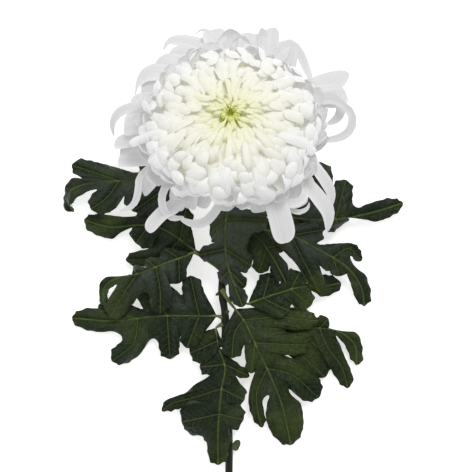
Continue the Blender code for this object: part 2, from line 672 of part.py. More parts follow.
def build_eye(group: bpy.types.Collection) -> bpy.types.Object:
    """The green eye: a stout column set with small pointed florets that lean together."""
    draw = random.Random(PETAL_SEED + 1)
    column = bmesh.new()
    bmesh.ops.create_cone(column, cap_ends=True, segments=10, radius1=EYE_RADIUS * 0.96,
                          radius2=EYE_RADIUS * 0.72, depth=EYE_DEPTH * 0.7)
    eye = object_from(column, "eye_florets", group)
    eye.data.transform(bloom_matrix() @ Matrix.Translation((0, 0, EYE_TOP - EYE_DEPTH * 0.65)))
    eye.data.materials.append(material("eye green", (0.42, 0.47, 0.08), 0.5))
    repeats = new_collection("eye_repeats")
    for index in range(EYE_FLORETS):
        share = math.sqrt((index + 0.5) / EYE_FLORETS)
        azimuth = index * math.pi * (3 - math.sqrt(5))
        radius = EYE_RADIUS * 0.72 * share
        top = EYE_TOP - 1.6 * MM * (1 - share) + draw.uniform(-0.4, 0.4) * MM
        points = [in_model(radius, EYE_TOP - EYE_DEPTH * 0.5, azimuth),
                  in_model(radius * 1.15, EYE_TOP - 3.4 * MM, azimuth),
                  in_model(radius * 0.8, top, azimuth)]
        across = in_model(1, 0, azimuth + math.pi / 2) - in_model(0, 0, 0)
        blade(Spine(points, across), 0.9 * MM, 0.8, SMALL_STATIONS, f"floret_{index}", repeats,
              thickness=1.2 * MM)
    unite(eye, repeats)
    keep_main_body(eye)
    return eye


def build_cup(group: bpy.types.Collection) -> bpy.types.Object:
    """The involucre: a shallow green cup behind the bloom, covered by two rings of bracts."""
    profile = bmesh.new()
    points = [profile.verts.new((0, 0, CUP_OUTLINE[-1][1] * MM))]
    points += [profile.verts.new((r * MM, 0, h * MM)) for r, h in reversed(CUP_OUTLINE)]
    points.append(profile.verts.new((0, 0, CUP_OUTLINE[0][1] * MM)))
    edges = [profile.edges.new(pair) for pair in zip(points, points[1:])]
    bmesh.ops.spin(profile, geom=[*points, *edges], cent=(0, 0, 0), axis=(0, 0, 1),
                   angle=2 * math.pi, steps=12, use_merge=True)
    bmesh.ops.remove_doubles(profile, verts=profile.verts, dist=WELD)
    bmesh.ops.triangulate(profile, faces=profile.faces)
    cup = object_from(profile, "involucre", group)
    cup.data.transform(bloom_matrix())
    cup.data.materials.append(material("bract green", (0.17, 0.23, 0.07), 0.6))
    repeats = new_collection("bract_repeats")
    for ring, (radius, height, tip_radius, tip_height) in enumerate(BRACT_RINGS):
        middle_radius = (radius + tip_radius) / 2 + 0.6
        middle_height = (height + tip_height) / 2 - 0.5
        line = ((radius, height), (middle_radius, middle_height), (tip_radius, tip_height))
        for index in range(BRACT_COUNT):
            azimuth = 2 * math.pi * (index + 0.5 * ring) / BRACT_COUNT
            points = [in_model(r * MM, h * MM, azimuth) for r, h in line]
            across = in_model(1, 0, azimuth + math.pi / 2) - in_model(0, 0, 0)
            blade(Spine(points, across), BRACT_WIDTH / 2, 0.5, SMALL_STATIONS,
                  f"bract_{ring}_{index}", repeats, blunt=0.3)
    unite(cup, repeats)
    keep_main_body(cup)
    return cup


def vein(origin: np.ndarray, lobe: Lobe, forward: np.ndarray) -> Spine:
    """The line of a side lobe from the midrib to its tip; its side vector points to the leaf's end."""
    via = [seen(p) for p in lobe.via]
    if not via:
        middle = (Vector(origin) + seen(lobe.tip)) / 2
        via = [middle + Vector((0, 0, 1.4 * MM))]
    return Spine([Vector(origin), *via, seen(lobe.tip)], forward)


def side_rows(leaf: Leaf, midrib: Spine, hand: int) -> list:
    """The rows of one half of a leaf, each from a place on the midrib to a point of the margin."""
    places = [pair.place for pair in leaf.pairs]
    last = places[-1] + (1 - places[-1]) * 0.24
    borders = [0.0] + [(a + b) / 2 for a, b in zip(places, places[1:])] + [last]
    lobes = [pair.left if hand > 0 else pair.right for pair in leaf.pairs]
    veins = []
    for place, lobe in zip(places, lobes):
        step = midrib.at(min(1.0, place + 0.05))[0] - midrib.at(place)[0]
        veins.append(vein(midrib.at(place)[0], lobe, step))

    def margin(index: int, u: float, v: float) -> np.ndarray:
        """A point of the edge of one lobe."""
        point, side, _ = veins[index].at(u)
        return point + side * (v * lobes[index].width * DRAWING_UNIT)

    def end_margin(u: float, v: float) -> np.ndarray:
        """A point of the edge of the end lobe."""
        point, side, _ = midrib.at(last + (1 - last) * u)
        return point + side * (v * hand * leaf.end_width * DRAWING_UNIT)

    rows = []
    for index, place in enumerate(places):
        low, high = borders[index], borders[index + 1]
        if index == 0:
            before = midrib.at(0.0)[0]
            share = leaf.base_notch
        else:
            before = margin(index - 1, *ROW_MARGIN[-1])
            share = lobes[index - 1].notch
        base = midrib.at(low)[0]
        sinus = base + ((before + margin(index, *ROW_MARGIN[0])) / 2 - base) * share
        rows.append((low, sinus, None, 0.0))
        for step, (u, v) in enumerate(ROW_MARGIN):
            start = low + (high - low) * (step + 1) / (len(ROW_MARGIN) + 1)
            rows.append((start, margin(index, u, v), veins[index], u))
    base = midrib.at(last)[0]
    before = margin(len(places) - 1, *ROW_MARGIN[-1])
    sinus = base + ((before + end_margin(*TERMINAL_MARGIN[0])) / 2 - base) * lobes[-1].notch
    rows.append((last, sinus, None, 0.0))
    for step, (u, v) in enumerate(TERMINAL_MARGIN):
        start = last + (1 - last) * (step + 1) / len(TERMINAL_MARGIN)
        rows.append((start, end_margin(u, v), None, 0.0))
    return rows


def row_point(row: tuple, midrib: Spine, t: float) -> np.ndarray:
    """A point of a row: straight from midrib to margin, or along its vein's bends."""
    start, edge, vein_line, reach = row
    base = midrib.at(start)[0]
    if vein_line is None:
        return base * (1 - t) + edge * t
    on_vein = vein_line.at(reach * t)[0]
    return on_vein + (base - vein_line.at(0)[0]) * (1 - t) + (edge - vein_line.at(reach)[0]) * t


def build_leaf(leaf: Leaf, group: bpy.types.Collection, stem_cutter: bpy.types.Object,
               finish: bpy.types.Material) -> bpy.types.Object:
    """One lobed leaf blade of even thickness, fused with its petiole and clear of the stem."""
    start = seen(leaf.midrib[1]) - seen(leaf.midrib[0])
    left = Vector((-start.y, start.x, 0))
    midrib = Spine([seen(p) for p in leaf.midrib], left)
    halves = {1: side_rows(leaf, midrib, 1), -1: side_rows(leaf, midrib, -1)}
    count = len(halves[1]) - 1
    bm = bmesh.new()
    bmesh.ops.create_grid(bm, x_segments=count, y_segments=4, size=1.0)
    for vertex in bm.verts:
        row = round((vertex.co.x + 1) / 2 * count)
        across = vertex.co.y
        vertex.co = Vector(row_point(halves[1 if across >= 0 else -1][row], midrib, abs(across)))
    bmesh.ops.remove_doubles(bm, verts=bm.verts, dist=0.05 * MM)
    bmesh.ops.triangulate(bm, faces=bm.faces)
    made = object_from(bm, leaf.name, group)
    shell = made.modifiers.new("thickness", "SOLIDIFY")
    shell.thickness = BLADE_THICKNESS
    shell.offset = 0.0
    shell.use_even_offset = False
    apply_modifiers(made)

    parts = new_collection(leaf.name + "_parts")
    line = [seen(p) for p in leaf.petiole] + [Vector(midrib.at(u)[0]) for u in (0.06, 0.16, 0.30)]
    spine = Spine(line, left)
    shares = [i / PETIOLE_STATIONS for i in range(PETIOLE_STATIONS + 1)]
    stations = [Vector(spine.at(share)[0]) for share in shares]
    radii = [PETIOLE_RADIUS * (1.15 - 0.62 * share) for share in shares]
    tube(leaf.name + "_petiole", stations, radii, parts, 6)
    unite(made, parts, "MANIFOLD")
    subtract(made, stem_cutter, "MANIFOLD")
    keep_main_body(made)
    made.data.materials.clear()
    made.data.materials.append(finish)
    return made


def build() -> None:
    """Builds the whole flower."""
    clear_scene()
    group = new_collection(COLLECTION_NAME)
    cutters = new_collection("cutters")
    build_stem(group, cutters)
    build_cup(group)
    build_petals(group, cutters)
    build_eye(group)

    spine = stem_spine()
    places = [i / (STEM_STATIONS - 1) for i in range(STEM_STATIONS)]
    line = [Vector(spine.at(u)[0]) for u in places]
    stem_cutter = tube("stem_cutter", line, [stem_radius(u) + GAP for u in places], cutters, STEM_SIDES)
    as_cutter(stem_cutter)
    green = material("leaf green", (0.045, 0.075, 0.035), 0.5)
    for leaf in LEAVES:
        build_leaf(leaf, group, stem_cutter, green)


if __name__ == "__main__":
    build()
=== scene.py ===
"""The finish of a white disbud chrysanthemum that lies on a pale studio floor, bloom upwards.

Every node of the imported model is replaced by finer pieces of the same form: petals in a dome and
in drawn spreading ones, an eye of florets, a cup of bracts, a ribbed stem with hairs, and leaves
with toothed lobes and veins. Places are laid out on the drawing that the part uses: x to the right,
y down and a height in millimetres, as an eye straight above the table sees the flower. Lengths
are metres unless a name says otherwise.
"""

from __future__ import annotations

import logging
import math
import random
from dataclasses import dataclass
from enum import Enum
from typing import Iterator, Sequence

import bmesh
import bpy
import numpy as np
from bpy.types import Material, NodeSocket
from mathutils import Matrix, Vector

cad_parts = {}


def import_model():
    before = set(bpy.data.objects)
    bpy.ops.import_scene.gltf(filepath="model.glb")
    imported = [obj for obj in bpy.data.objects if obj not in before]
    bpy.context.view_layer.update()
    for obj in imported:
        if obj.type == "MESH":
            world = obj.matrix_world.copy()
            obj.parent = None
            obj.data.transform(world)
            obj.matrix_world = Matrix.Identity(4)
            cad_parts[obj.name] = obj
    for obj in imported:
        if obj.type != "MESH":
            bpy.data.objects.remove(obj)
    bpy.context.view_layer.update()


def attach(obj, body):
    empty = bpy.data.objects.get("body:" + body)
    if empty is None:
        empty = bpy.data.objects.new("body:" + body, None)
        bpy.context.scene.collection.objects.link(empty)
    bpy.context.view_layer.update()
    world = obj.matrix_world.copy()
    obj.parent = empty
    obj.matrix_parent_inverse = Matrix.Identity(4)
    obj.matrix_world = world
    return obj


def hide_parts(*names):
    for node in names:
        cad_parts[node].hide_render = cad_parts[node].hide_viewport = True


log = logging.getLogger("chrysanthemum")

MM = 0.001
WELD = 0.01 * MM
GRAIN_LENGTH = 20 * MM
GOLDEN_TURN = math.pi * (3 - math.sqrt(5))

Array = np.ndarray
Colour = tuple[float, float, float]
Drawn = tuple[float, float, float]
Pair = tuple[float, float]
Profile = Sequence[Pair]


class Socket(Enum):
    """Sockets of the surface shader that a finish may feed."""

    COLOUR = "Base Color"
    ROUGHNESS = "Roughness"
    NORMAL = "Normal"
    SHINE = "Specular IOR Level"
    GLOW = "Emission Color"
    GLOW_STRENGTH = "Emission Strength"
    SHEEN = "Sheen Weight"
    SHEEN_ROUGHNESS = "Sheen Roughness"
    SHEEN_TINT = "Sheen Tint"


@dataclass(frozen=True)
class Drawing:
    """The plan of the flower, seen by an eye straight above the table.

    Attributes:
        unit: Size on the table of one unit of the drawing.
        eye: Drawn place under the eye.
        origin: Drawn place of the model's origin.
        eye_height: Height of the eye above the table.
    """

    unit: float = 0.62 * MM
    eye: Pair = (236.0, 236.0)
    origin: Pair = (235.0, 299.0)
    eye_height: float = 1.627

    def eye_place(self) -> Vector:
        """The place of the eye in the model."""
        return Vector(((self.eye[0] - self.origin[0]) * self.unit,
                       (self.origin[1] - self.eye[1]) * self.unit, self.eye_height))

    def seen(self, point: Drawn) -> Array:
        """The place in the model of a drawn point, which the eye sees past its height.

        Args:
            point: Drawn x and y, and the height above the table in millimetres.

        Returns:
            The place in metres.
        """
        x, y, height_mm = point
        height = height_mm * MM
        eye = self.eye_place()
        nearer = (self.eye_height - height) / self.eye_height * self.unit
        return np.array((eye.x + (x - self.eye[0]) * nearer, eye.y + (self.eye[1] - y) * nearer, height))


DRAWING = Drawing()


def unit(vectors: Array) -> Array:
    """Vectors at length one, along the last axis."""
    return vectors / np.maximum(np.linalg.norm(vectors, axis=-1, keepdims=True), 1e-9)


def ease(values: Array | float, low: float, high: float) -> Array:
    """A smooth step from 0 at `low` to 1 at `high`."""
    t = np.clip((values - low) / (high - low), 0.0, 1.0)
    return t * t * (3 - 2 * t)


def distances(line: Array) -> Array:
    """Distances along a line of points, from its start to each of them."""
    return np.concatenate(([0.0], np.cumsum(np.linalg.norm(np.diff(line, axis=0), axis=1))))


def metres(profile: Profile) -> list[Pair]:
    """A profile of radii and heights in millimetres, in metres."""
    return [(radius * MM, height * MM) for radius, height in profile]


def add_object(name: str, data: bpy.types.ID) -> bpy.types.Object:
    """Adds an object to the scene.

    Args:
        name: Its name.
        data: The mesh, light or camera that it holds.

    Returns:
        The object.
    """
    item = bpy.data.objects.new(name, data)
    bpy.context.scene.collection.objects.link(item)
    return item


class Spine:
    """A smooth line through points, with a side vector carried along it without twisting."""

    STEPS = 12

    def __init__(self, points: Sequence[Array], side: Sequence[float]) -> None:
        """Samples the line and its frames.

        Args:
            points: Places that the line passes, in metres.
            side: Side vector wanted at the start.
        """
        knots = [np.array(p, dtype=float) for p in points]
        knots = [2 * knots[0] - knots[1], *knots, 2 * knots[-1] - knots[-2]]
        shares = np.arange(self.STEPS)[:, None] / self.STEPS
        runs = [self._between(*four, shares) for four in zip(knots, knots[1:], knots[2:], knots[3:])]
        self.line = np.concatenate([*runs, knots[-2][None]])
        self.place = distances(self.line)
        self.length = float(self.place[-1])
        self.tangents = unit(np.gradient(self.line, axis=0))
        carried = np.array(side, dtype=float)
        sides = []
        for tangent in self.tangents:
            carried = unit(carried - tangent * float(carried @ tangent))
            sides.append(carried)
        self.sides = np.array(sides)
        self.normals = np.cross(self.tangents, self.sides)

    @staticmethod
    def _between(before: Array, start: Array, end: Array, after: Array, t: Array) -> Array:
        """Points of the Catmull-Rom curve between the middle two of four points.

        Args:
            before, start, end, after: The four points in their order.
            t: Shares of the way from `start` to `end`.

        Returns:
            The points.
        """
        return 0.5 * (2 * start + (end - before) * t
                      + (2 * before - 5 * start + 4 * end - after) * t ** 2
                      + (3 * start - before - 3 * end + after) * t ** 3)

    def _read(self, rows: Array, u: Array) -> Array:
        """Values of a row array at fractions of the length."""
        where = np.clip(u, 0.0, 1.0) * self.length
        return np.stack([np.interp(where, self.place, rows[:, axis]) for axis in range(3)], axis=-1)

    def points(self, u: Array) -> Array:
        """Places at fractions `u` of the length; past the ends the line runs straight on."""
        over = np.maximum(u - 1.0, 0.0)[..., None] + np.minimum(u, 0.0)[..., None]
        return self._read(self.line, u) + over * self.length * self._read(self.tangents, u)

    def frames(self, u: Array) -> tuple[Array, Array, Array]:
        """Places, side vectors and normals at fractions `u` of the length."""
        return self.points(u), unit(self._read(self.sides, u)), unit(self._read(self.normals, u))


class Skin:
    """A closed skin swept along a line: a grid made into a tube once, and posed for each copy."""

    def __init__(self, stations: int, ring: int) -> None:
        """Makes the tube.

        Args:
            stations: Number of rings along the line.
            ring: Number of corners of each ring.
        """
        bm = bmesh.new()
        bmesh.ops.create_grid(bm, x_segments=stations - 1, y_segments=ring, size=1.0)
        for vertex in bm.verts:
            turn = (vertex.co.y + 1) * math.pi
            vertex.co = ((vertex.co.x + 1) / 2 * (stations - 1), math.cos(turn), math.sin(turn))
        bmesh.ops.remove_doubles(bm, verts=bm.verts, dist=0.001)
        bmesh.ops.holes_fill(bm, edges=[e for e in bm.edges if e.is_boundary], sides=ring)
        bmesh.ops.recalc_face_normals(bm, faces=bm.faces)
        self.mesh = bpy.data.meshes.new("skin")
        bm.to_mesh(self.mesh)
        bm.free()
        corners = np.empty(len(self.mesh.vertices) * 3)
        self.mesh.vertices.foreach_get("co", corners)
        corners = corners.reshape(-1, 3)
        self.station = np.rint(corners[:, 0]).astype(int)
        turns = np.arctan2(corners[:, 2], corners[:, 1]) / (2 * math.pi)
        self.corner = np.rint(turns * ring).astype(int) % ring
        self.turns = np.arange(ring) * 2 * math.pi / ring

    def add_to(self, bm: bmesh.types.BMesh, places: Array) -> None:
        """Adds a posed copy.

        Args:
            bm: The mesh to add to.
            places: Places of the corners, as an array of stations by ring by 3.
        """
        self.mesh.vertices.foreach_set("co", places[self.station, self.corner].ravel())
        bm.from_mesh(self.mesh)


class Piece:
    """One piece of the flower under construction: a mesh with values stored at its vertices."""

    def __init__(self, name: str) -> None:
        """Starts an empty piece.

        Args:
            name: Its name.
        """
        self.name = name
        self.bm = bmesh.new()
        self.values: dict[str, list[Array]] = {}

    def sweep(self, skin: Skin, places: Array, **values: Array | float) -> None:
        """Adds a posed copy of a skin.

        Args:
            skin: The skin to copy.
            places: Places of its corners by station and ring.
            **values: Named values, each one number or an array by station and ring.
        """
        skin.add_to(self.bm, places)
        for key, value in values.items():
            spread = np.broadcast_to(np.asarray(value, dtype=float), places.shape[:2])
            self.values.setdefault(key, []).append(spread[skin.station, skin.corner])

    def tube(self, skin: Skin, spine: Spine, u: Array, radius: Array,
             sink: Array | float = 0.0, ribs: int = 1) -> None:
        """Adds a tapering tube along a line.

        Args:
            skin: The skin to copy.
            spine: The line that it follows.
            u: Shares of the line's length, one for each ring.
            radius: Radius by ring, or by ring and corner.
            sink: How far each ring lies below the line, in radii.
            ribs: How many times the value `across` goes up and down round the tube.
        """
        point, side, normal = (rows[:, None] for rows in spine.frames(u))
        reach = (np.cos(skin.turns) * radius)[..., None]
        lift = ((np.sin(skin.turns) - sink) * radius)[..., None]
        self.sweep(skin, point + side * reach + normal * lift,
                   along=u[:, None] * spine.length / GRAIN_LENGTH, across=np.cos(ribs * skin.turns)[None])

    def finish(self, materials: Sequence[Material], nodes: Sequence[str], slot: str,
               sharp_angle: float = 60.0) -> bpy.types.Object:
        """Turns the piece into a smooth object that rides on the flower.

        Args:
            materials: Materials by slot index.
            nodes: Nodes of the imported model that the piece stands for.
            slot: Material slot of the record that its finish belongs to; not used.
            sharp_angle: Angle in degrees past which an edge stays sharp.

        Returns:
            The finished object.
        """
        mesh = bpy.data.meshes.new(self.name)
        self.bm.to_mesh(mesh)
        self.bm.free()
        for key, parts in self.values.items():
            stored = mesh.attributes.new(key, "FLOAT", "POINT")
            stored.data.foreach_set("value", np.concatenate(parts))
        mesh.shade_smooth()
        mesh.set_sharp_from_angle(angle=math.radians(sharp_angle))
        for made in materials:
            mesh.materials.append(made)
        item = add_object(self.name, mesh)
        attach(item, "root")
        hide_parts(*nodes)
        log.info("%s: %d faces", self.name, len(mesh.polygons))
        return item


class Value:
    """A number that varies over a surface: a socket whose operators add Math nodes."""

    def __init__(self, graph: ShaderGraph, socket: NodeSocket) -> None:
        """Wraps an output socket of a graph."""
        self.graph, self.socket = graph, socket

    def math(self, operation: str, *others: Value | float) -> Value:
        """The result of a Math node with this value first."""
        return self.graph.math(operation, self, *others)

    def __add__(self, other: Value | float) -> Value:
        """This value plus another."""
        return self.math("ADD", other)

    def __sub__(self, other: Value | float) -> Value:
        """This value less another."""
        return self.math("SUBTRACT", other)

    def __rsub__(self, other: float) -> Value:
        """A number less this value."""
        return self.graph.math("SUBTRACT", other, self)

    def __mul__(self, other: Value | float) -> Value:
        """This value times another."""
        return self.math("MULTIPLY", other)

    def __truediv__(self, other: Value | float) -> Value:
        """This value over another."""
        return self.math("DIVIDE", other)

    def __rtruediv__(self, other: float) -> Value:
        """A number over this value."""
        return self.graph.math("DIVIDE", other, self)

    def __abs__(self) -> Value:
        """The size of this value."""
        return self.math("ABSOLUTE")

    __radd__, __rmul__ = __add__, __mul__

    def smooth(self, low: float, high: float, start: float = 0.0, end: float = 1.0) -> Value:
        """A smooth step of this value.

        Args:
            low, high: Values at which the step begins and ends.
            start, end: What it gives before and after.

        Returns:
            The stepped value.
        """
        node = self.graph.node("ShaderNodeMapRange", {"interpolation_type": "SMOOTHSTEP"}, {
            "Value": self, "From Min": low, "From Max": high, "To Min": start, "To Max": end})
        return Value(self.graph, node.outputs["Result"])


class ShaderGraph:
    """The nodes of one material."""

    def __init__(self, name: str) -> None:
        """Starts a material with its Principled surface.

        Args:
            name: Its name.
        """
        self.material = bpy.data.materials.new(name)
        self.material.use_nodes = True
        self.tree = self.material.node_tree
        self.surface = self.tree.nodes["Principled BSDF"]
        self.place = self.node("ShaderNodeTexCoord").outputs["Object"]

    def node(self, kind: str, settings: dict[str, object] | None = None,
             sockets: dict[str | int, object] | None = None) -> bpy.types.Node:
        """Adds a node.

        Args:
            kind: Type of the node.
            settings: Values of its own settings, which are set first.
            sockets: Numbers, colours, values or sockets for its inputs, by name or index.

        Returns:
            The node.
        """
        made = self.tree.nodes.new(kind)
        for key, value in (settings or {}).items():
            setattr(made, key, value)
        for key, value in (sockets or {}).items():
            self.feed(made.inputs[key], value)
        return made

    def feed(self, socket: NodeSocket, value: object) -> None:
        """Sets or links an input.

        Args:
            socket: The input.
            value: A number or colour to set it to, or a value or socket to link to it.
        """
        if isinstance(value, Value):
            value = value.socket
        if isinstance(value, NodeSocket):
            self.tree.links.new(value, socket)
        else:
            socket.default_value = (*value, 1.0) if socket.type == "RGBA" else value

    def math(self, operation: str, *values: Value | float) -> Value:
        """The result of a Math node."""
        node = self.node("ShaderNodeMath", {"operation": operation}, dict(enumerate(values)))
        return Value(self, node.outputs[0])

    def vectors(self, operation: str, *vectors: object) -> NodeSocket:
        """The result of a Vector Math node."""
        node = self.node("ShaderNodeVectorMath", {"operation": operation}, dict(enumerate(vectors)))
        return node.outputs[0]

    def stored(self, *names: str) -> list[Value]:
        """Values stored at the vertices of the piece."""
        return [Value(self, self.node("ShaderNodeAttribute", {"attribute_name": name}).outputs["Fac"])
                for name in names]

    def noise(self, scale: float, detail: float = 2.0, place: NodeSocket | None = None) -> Value:
        """A noise from 0 to 1 over the surface, at `scale` features a metre."""
        sockets = {"Vector": place or self.place, "Scale": scale, "Detail": detail}
        return Value(self, self.node("ShaderNodeTexNoise", None, sockets).outputs["Fac"])

    def cells(self, scale: float) -> Value:
        """The distance to the nearest wall between cells.

        Args:
            scale: Cells per metre.

        Returns:
            The distance, in cells.
        """
        sockets = {"Vector": self.place, "Scale": scale}
        node = self.node("ShaderNodeTexVoronoi", {"feature": "DISTANCE_TO_EDGE"}, sockets)
        return Value(self, node.outputs["Distance"])

    def vector(self, x: Value | float, y: Value | float, z: Value | float) -> NodeSocket:
        """A place made of three values."""
        return self.node("ShaderNodeCombineXYZ", None, {"X": x, "Y": y, "Z": z}).outputs[0]

    def blend(self, factor: Value | float, low: object, high: object) -> NodeSocket:
        """A colour between two colours, `low` at 0 and `high` at 1."""
        settings = {"data_type": "RGBA", "clamp_factor": True}
        return self.node("ShaderNodeMix", settings, {0: factor, 6: low, 7: high}).outputs[2]

    def shade(self, factor: Value, colour: object) -> NodeSocket:
        """A colour made darker or lighter by a value."""
        return self.vectors("MULTIPLY", colour, self.vector(factor, factor, factor))

    def relief(self, height: Value, depth: float, strength: float) -> None:
        """Feeds a bump of that height, which is `depth` metres at 1, to the surface."""
        bump = self.node("ShaderNodeBump", None, {"Height": height, "Distance": depth, "Strength": strength})
        self.finish({Socket.NORMAL: bump.outputs["Normal"]})

    def finish(self, feeds: dict[Socket, object]) -> Material:
        """Feeds the surface and gives the material.

        Args:
            feeds: What each socket of the surface gets.

        Returns:
            The material.
        """
        for socket, value in feeds.items():
            self.feed(self.surface.inputs[socket.value], value)
        return self.material


@dataclass(frozen=True)
class PetalFinish:
    """White petals that turn cream and green-yellow towards the heart of the bloom."""

    white: Colour = (0.69, 0.69, 0.695)
    cream: Colour = (0.70, 0.686, 0.55)
    heart: Colour = (0.65, 0.67, 0.235)
    ridges: float = 5.0
    ridge_depth: float = 0.16 * MM
    # How far painted shade darkens the old outer petals.
    thin_and_painted_shade: float = 0.13
    # Emission in the petals' own colour: painted light that stands in for light passing through the thin
    # petals and lifts the shade between them.
    glow: float = 0.24

    def material(self) -> Material:
        """Makes the material, which reads the values `along`, `across` and `age` of a petal.

        Returns:
            The material.
        """
        graph = ShaderGraph("petal")
        along, across, age = graph.stored("along", "across", "age")
        streaks = graph.noise(1.0, place=graph.vector(along * 2.5, across * 9.0, age * 400.0))
        depth = (1.0 - along).smooth(0.25, 1.0)
        youth = (1.0 - age).smooth(0.35, 1.0)
        creamy = graph.math("MINIMUM", youth * 0.75 + depth * 0.55, 1.0)
        green = (1.0 - age).smooth(0.80, 1.0) * (0.55 + depth * 0.45)
        colour = graph.blend(green, graph.blend(creamy, self.white, self.cream), self.heart)
        colour = graph.shade(streaks.smooth(0.3, 0.7, 0.96, 1.02), colour)
        # Painted shade, partly the grey of thin tissue: the old outer petals are darkened, most in their
        # middles, so that their rims stay lighter as a painted highlight.
        thin_and_shaded = (1.2 - abs(across).smooth(0.3, 1.0) * 0.4) * age.smooth(0.6, 0.97)
        colour = graph.shade(1.0 - thin_and_shaded * self.thin_and_painted_shade, colour)
        ridges = (across * (self.ridges * math.pi)).math("SINE") * 0.4 + streaks * 0.8
        graph.relief(ridges, self.ridge_depth, 0.5)
        # The petals glow in their own colour, a painted light though they are no lamp.
        return graph.finish({Socket.COLOUR: colour, Socket.ROUGHNESS: streaks.smooth(0.2, 0.8, 0.5, 0.62),
                             Socket.SHINE: 0.35, Socket.GLOW: colour, Socket.GLOW_STRENGTH: self.glow})


@dataclass(frozen=True)
class EyeFinish:
    """The florets of the eye: dark green in the pit, yellow-green towards their tips and its rim."""

    pit: Colour = (0.26, 0.32, 0.02)
    tip: Colour = (0.58, 0.61, 0.12)
    rim: Colour = (0.76, 0.765, 0.33)
    grain_depth: float = 0.1 * MM
    # Emission in the florets' own colour: painted light that lifts the shade in the eye's well.
    glow: float = 0.22

    def material(self) -> Material:
        """Makes the material, which reads the values `along`, `across` and `age` of a floret.

        Returns:
            The material.
        """
        graph = ShaderGraph("eye")
        along, across, age = graph.stored("along", "across", "age")
        streaks = graph.noise(1.0, place=graph.vector(along * 3.0, across * 4.0, age * 300.0))
        colour = graph.blend(age.smooth(0.35, 0.85), self.tip, self.rim)
        colour = graph.blend(along.smooth(0.62, 0.97) * (0.25 + age * 0.75), self.pit, colour)
        colour = graph.shade(streaks.smooth(0.3, 0.7, 0.88, 1.06), colour)
        graph.relief(streaks, self.grain_depth, 0.6)
        # The florets glow in their own colour, a painted light though they are no lamp.
        return graph.finish({Socket.COLOUR: colour, Socket.ROUGHNESS: 0.5, Socket.SHINE: 0.3,
                             Socket.GLOW: colour, Socket.GLOW_STRENGTH: self.glow})


@dataclass(frozen=True)
class LeafFinish:
    """A side of a leaf: green with a painted grey-blue sheen, olive mottling and pale veins."""

    name: str = "leaf upper"
    deep: Colour = (0.0055, 0.012, 0.0045)
    olive: Colour = (0.032, 0.048, 0.009)
    vein: Colour = (0.068, 0.094, 0.027)
    # Grey-blue of the painted sheen on the leaf's raised parts and in random patches.
    bloom: Colour = (0.083, 0.100, 0.091)
    sheen: float = 0.03
    veinlet_gap: float = 4.2 * MM
    relief: float = 0.6 * MM
    # Shift of the painted sheen's second noise, so that it doesn't follow the first.
    painted_sheen_shift: Drawn = (3.1, 1.7, 0.4)

    def material(self) -> Material:
        """Makes the material, which reads how far a point lies from the midrib and the veins.

        Returns:
            The material.
        """
        graph = ShaderGraph(self.name)
        rib, vein, run = graph.stored("rib_gap", "vein_gap", "vein_run")
        line = 1.0 - graph.math("MINIMUM", rib * 0.62, vein).smooth(0.15 * MM, 0.75 * MM)
        phase = (run - vein * 0.95) / self.veinlet_gap + graph.noise(160.0) * 0.35
        from_line = abs(phase.math("FRACT") - 0.5) * 2.0
        veinlet = from_line.smooth(0.80, 0.97) * (1.0 - vein.smooth(4 * MM, 13 * MM))
        net = 1.0 - graph.cells(620.0).smooth(0.02, 0.14)
        colour = graph.blend(graph.noise(34.0, 3.0).smooth(0.42, 0.72), self.deep, self.olive)
        height = Value(graph, graph.node("ShaderNodeSeparateXYZ", None, {0: graph.place}).outputs[2])
        # Painted sheen: random patches and the raised parts of a leaf, away from its veins, turn grey-blue as
        # where they catch the light.
        painted_sheen = graph.noise(26.0, place=graph.vectors("ADD", graph.place, self.painted_sheen_shift))
        painted_sheen = painted_sheen.smooth(0.42, 0.75) * 0.7 + height.smooth(14 * MM, 28 * MM) * 0.6
        colour = graph.blend(painted_sheen * 0.5 * vein.smooth(0.5 * MM, 4 * MM), colour, self.bloom)
        colour = graph.shade(graph.noise(420.0).smooth(0.3, 0.7, 0.82, 1.18), colour)
        paler = graph.math("MAXIMUM", line, graph.math("MAXIMUM", veinlet * 0.42, net * 0.13))
        colour = graph.blend(paler, colour, self.vein)
        puff = graph.cells(240.0).smooth(0.0, 0.35)
        graph.relief(puff * 0.6 - line * 0.9 - veinlet * 0.45 - net * 0.15, self.relief, 0.9)
        return graph.finish({
            Socket.COLOUR: colour, Socket.ROUGHNESS: graph.noise(90.0).smooth(0.3, 0.7, 0.36, 0.54),
            Socket.SHEEN: self.sheen, Socket.SHEEN_ROUGHNESS: 0.4, Socket.SHEEN_TINT: (0.75, 0.85, 0.9),
            Socket.SHINE: 0.17})


@dataclass(frozen=True)
class PlantFinish:
    """A plain green tissue with streaks along it, such as a stem, a rib or a bract."""

    name: str
    base: Colour
    other: Colour
    roughness: float = 0.55
    streaks: Pair = (6.0, 3.0)
    depth: float = 0.2 * MM

    def material(self) -> Material:
        """Makes the material, which reads the values `along` and `across` of a swept piece.

        Returns:
            The material.
        """
        graph = ShaderGraph(self.name)
        along, across = graph.stored("along", "across")
        place = graph.vector(along * self.streaks[0], across * self.streaks[1], 0.0)
        streaks = graph.noise(1.0, 3.0, place)
        mix = streaks.smooth(0.35, 0.65) * 0.6 + graph.noise(70.0) * 0.3
        graph.relief(streaks, self.depth, 0.8)
        return graph.finish({Socket.COLOUR: graph.blend(mix, self.base, self.other),
                             Socket.ROUGHNESS: self.roughness, Socket.SHINE: 0.25})


@dataclass(frozen=True)
class PlainFinish:
    """A finish with a fine grain and no direction, such as pith, hairs or the studio floor."""

    name: str
    base: Colour
    other: Colour
    scale: float
    roughness: float = 0.6
    depth: float = 0.1 * MM
    glow: float = 0.0

    def material(self) -> Material:
        """Makes the material, whose grain lies in the piece's own coordinates.

        Returns:
            The material.
        """
        graph = ShaderGraph(self.name)
        grain = graph.noise(self.scale)
        graph.relief(grain, self.depth, 0.5)
        return graph.finish({Socket.COLOUR: graph.blend(grain, self.base, self.other),
                             Socket.ROUGHNESS: self.roughness, Socket.GLOW: (1.0, 1.0, 1.0),
                             Socket.GLOW_STRENGTH: self.glow})


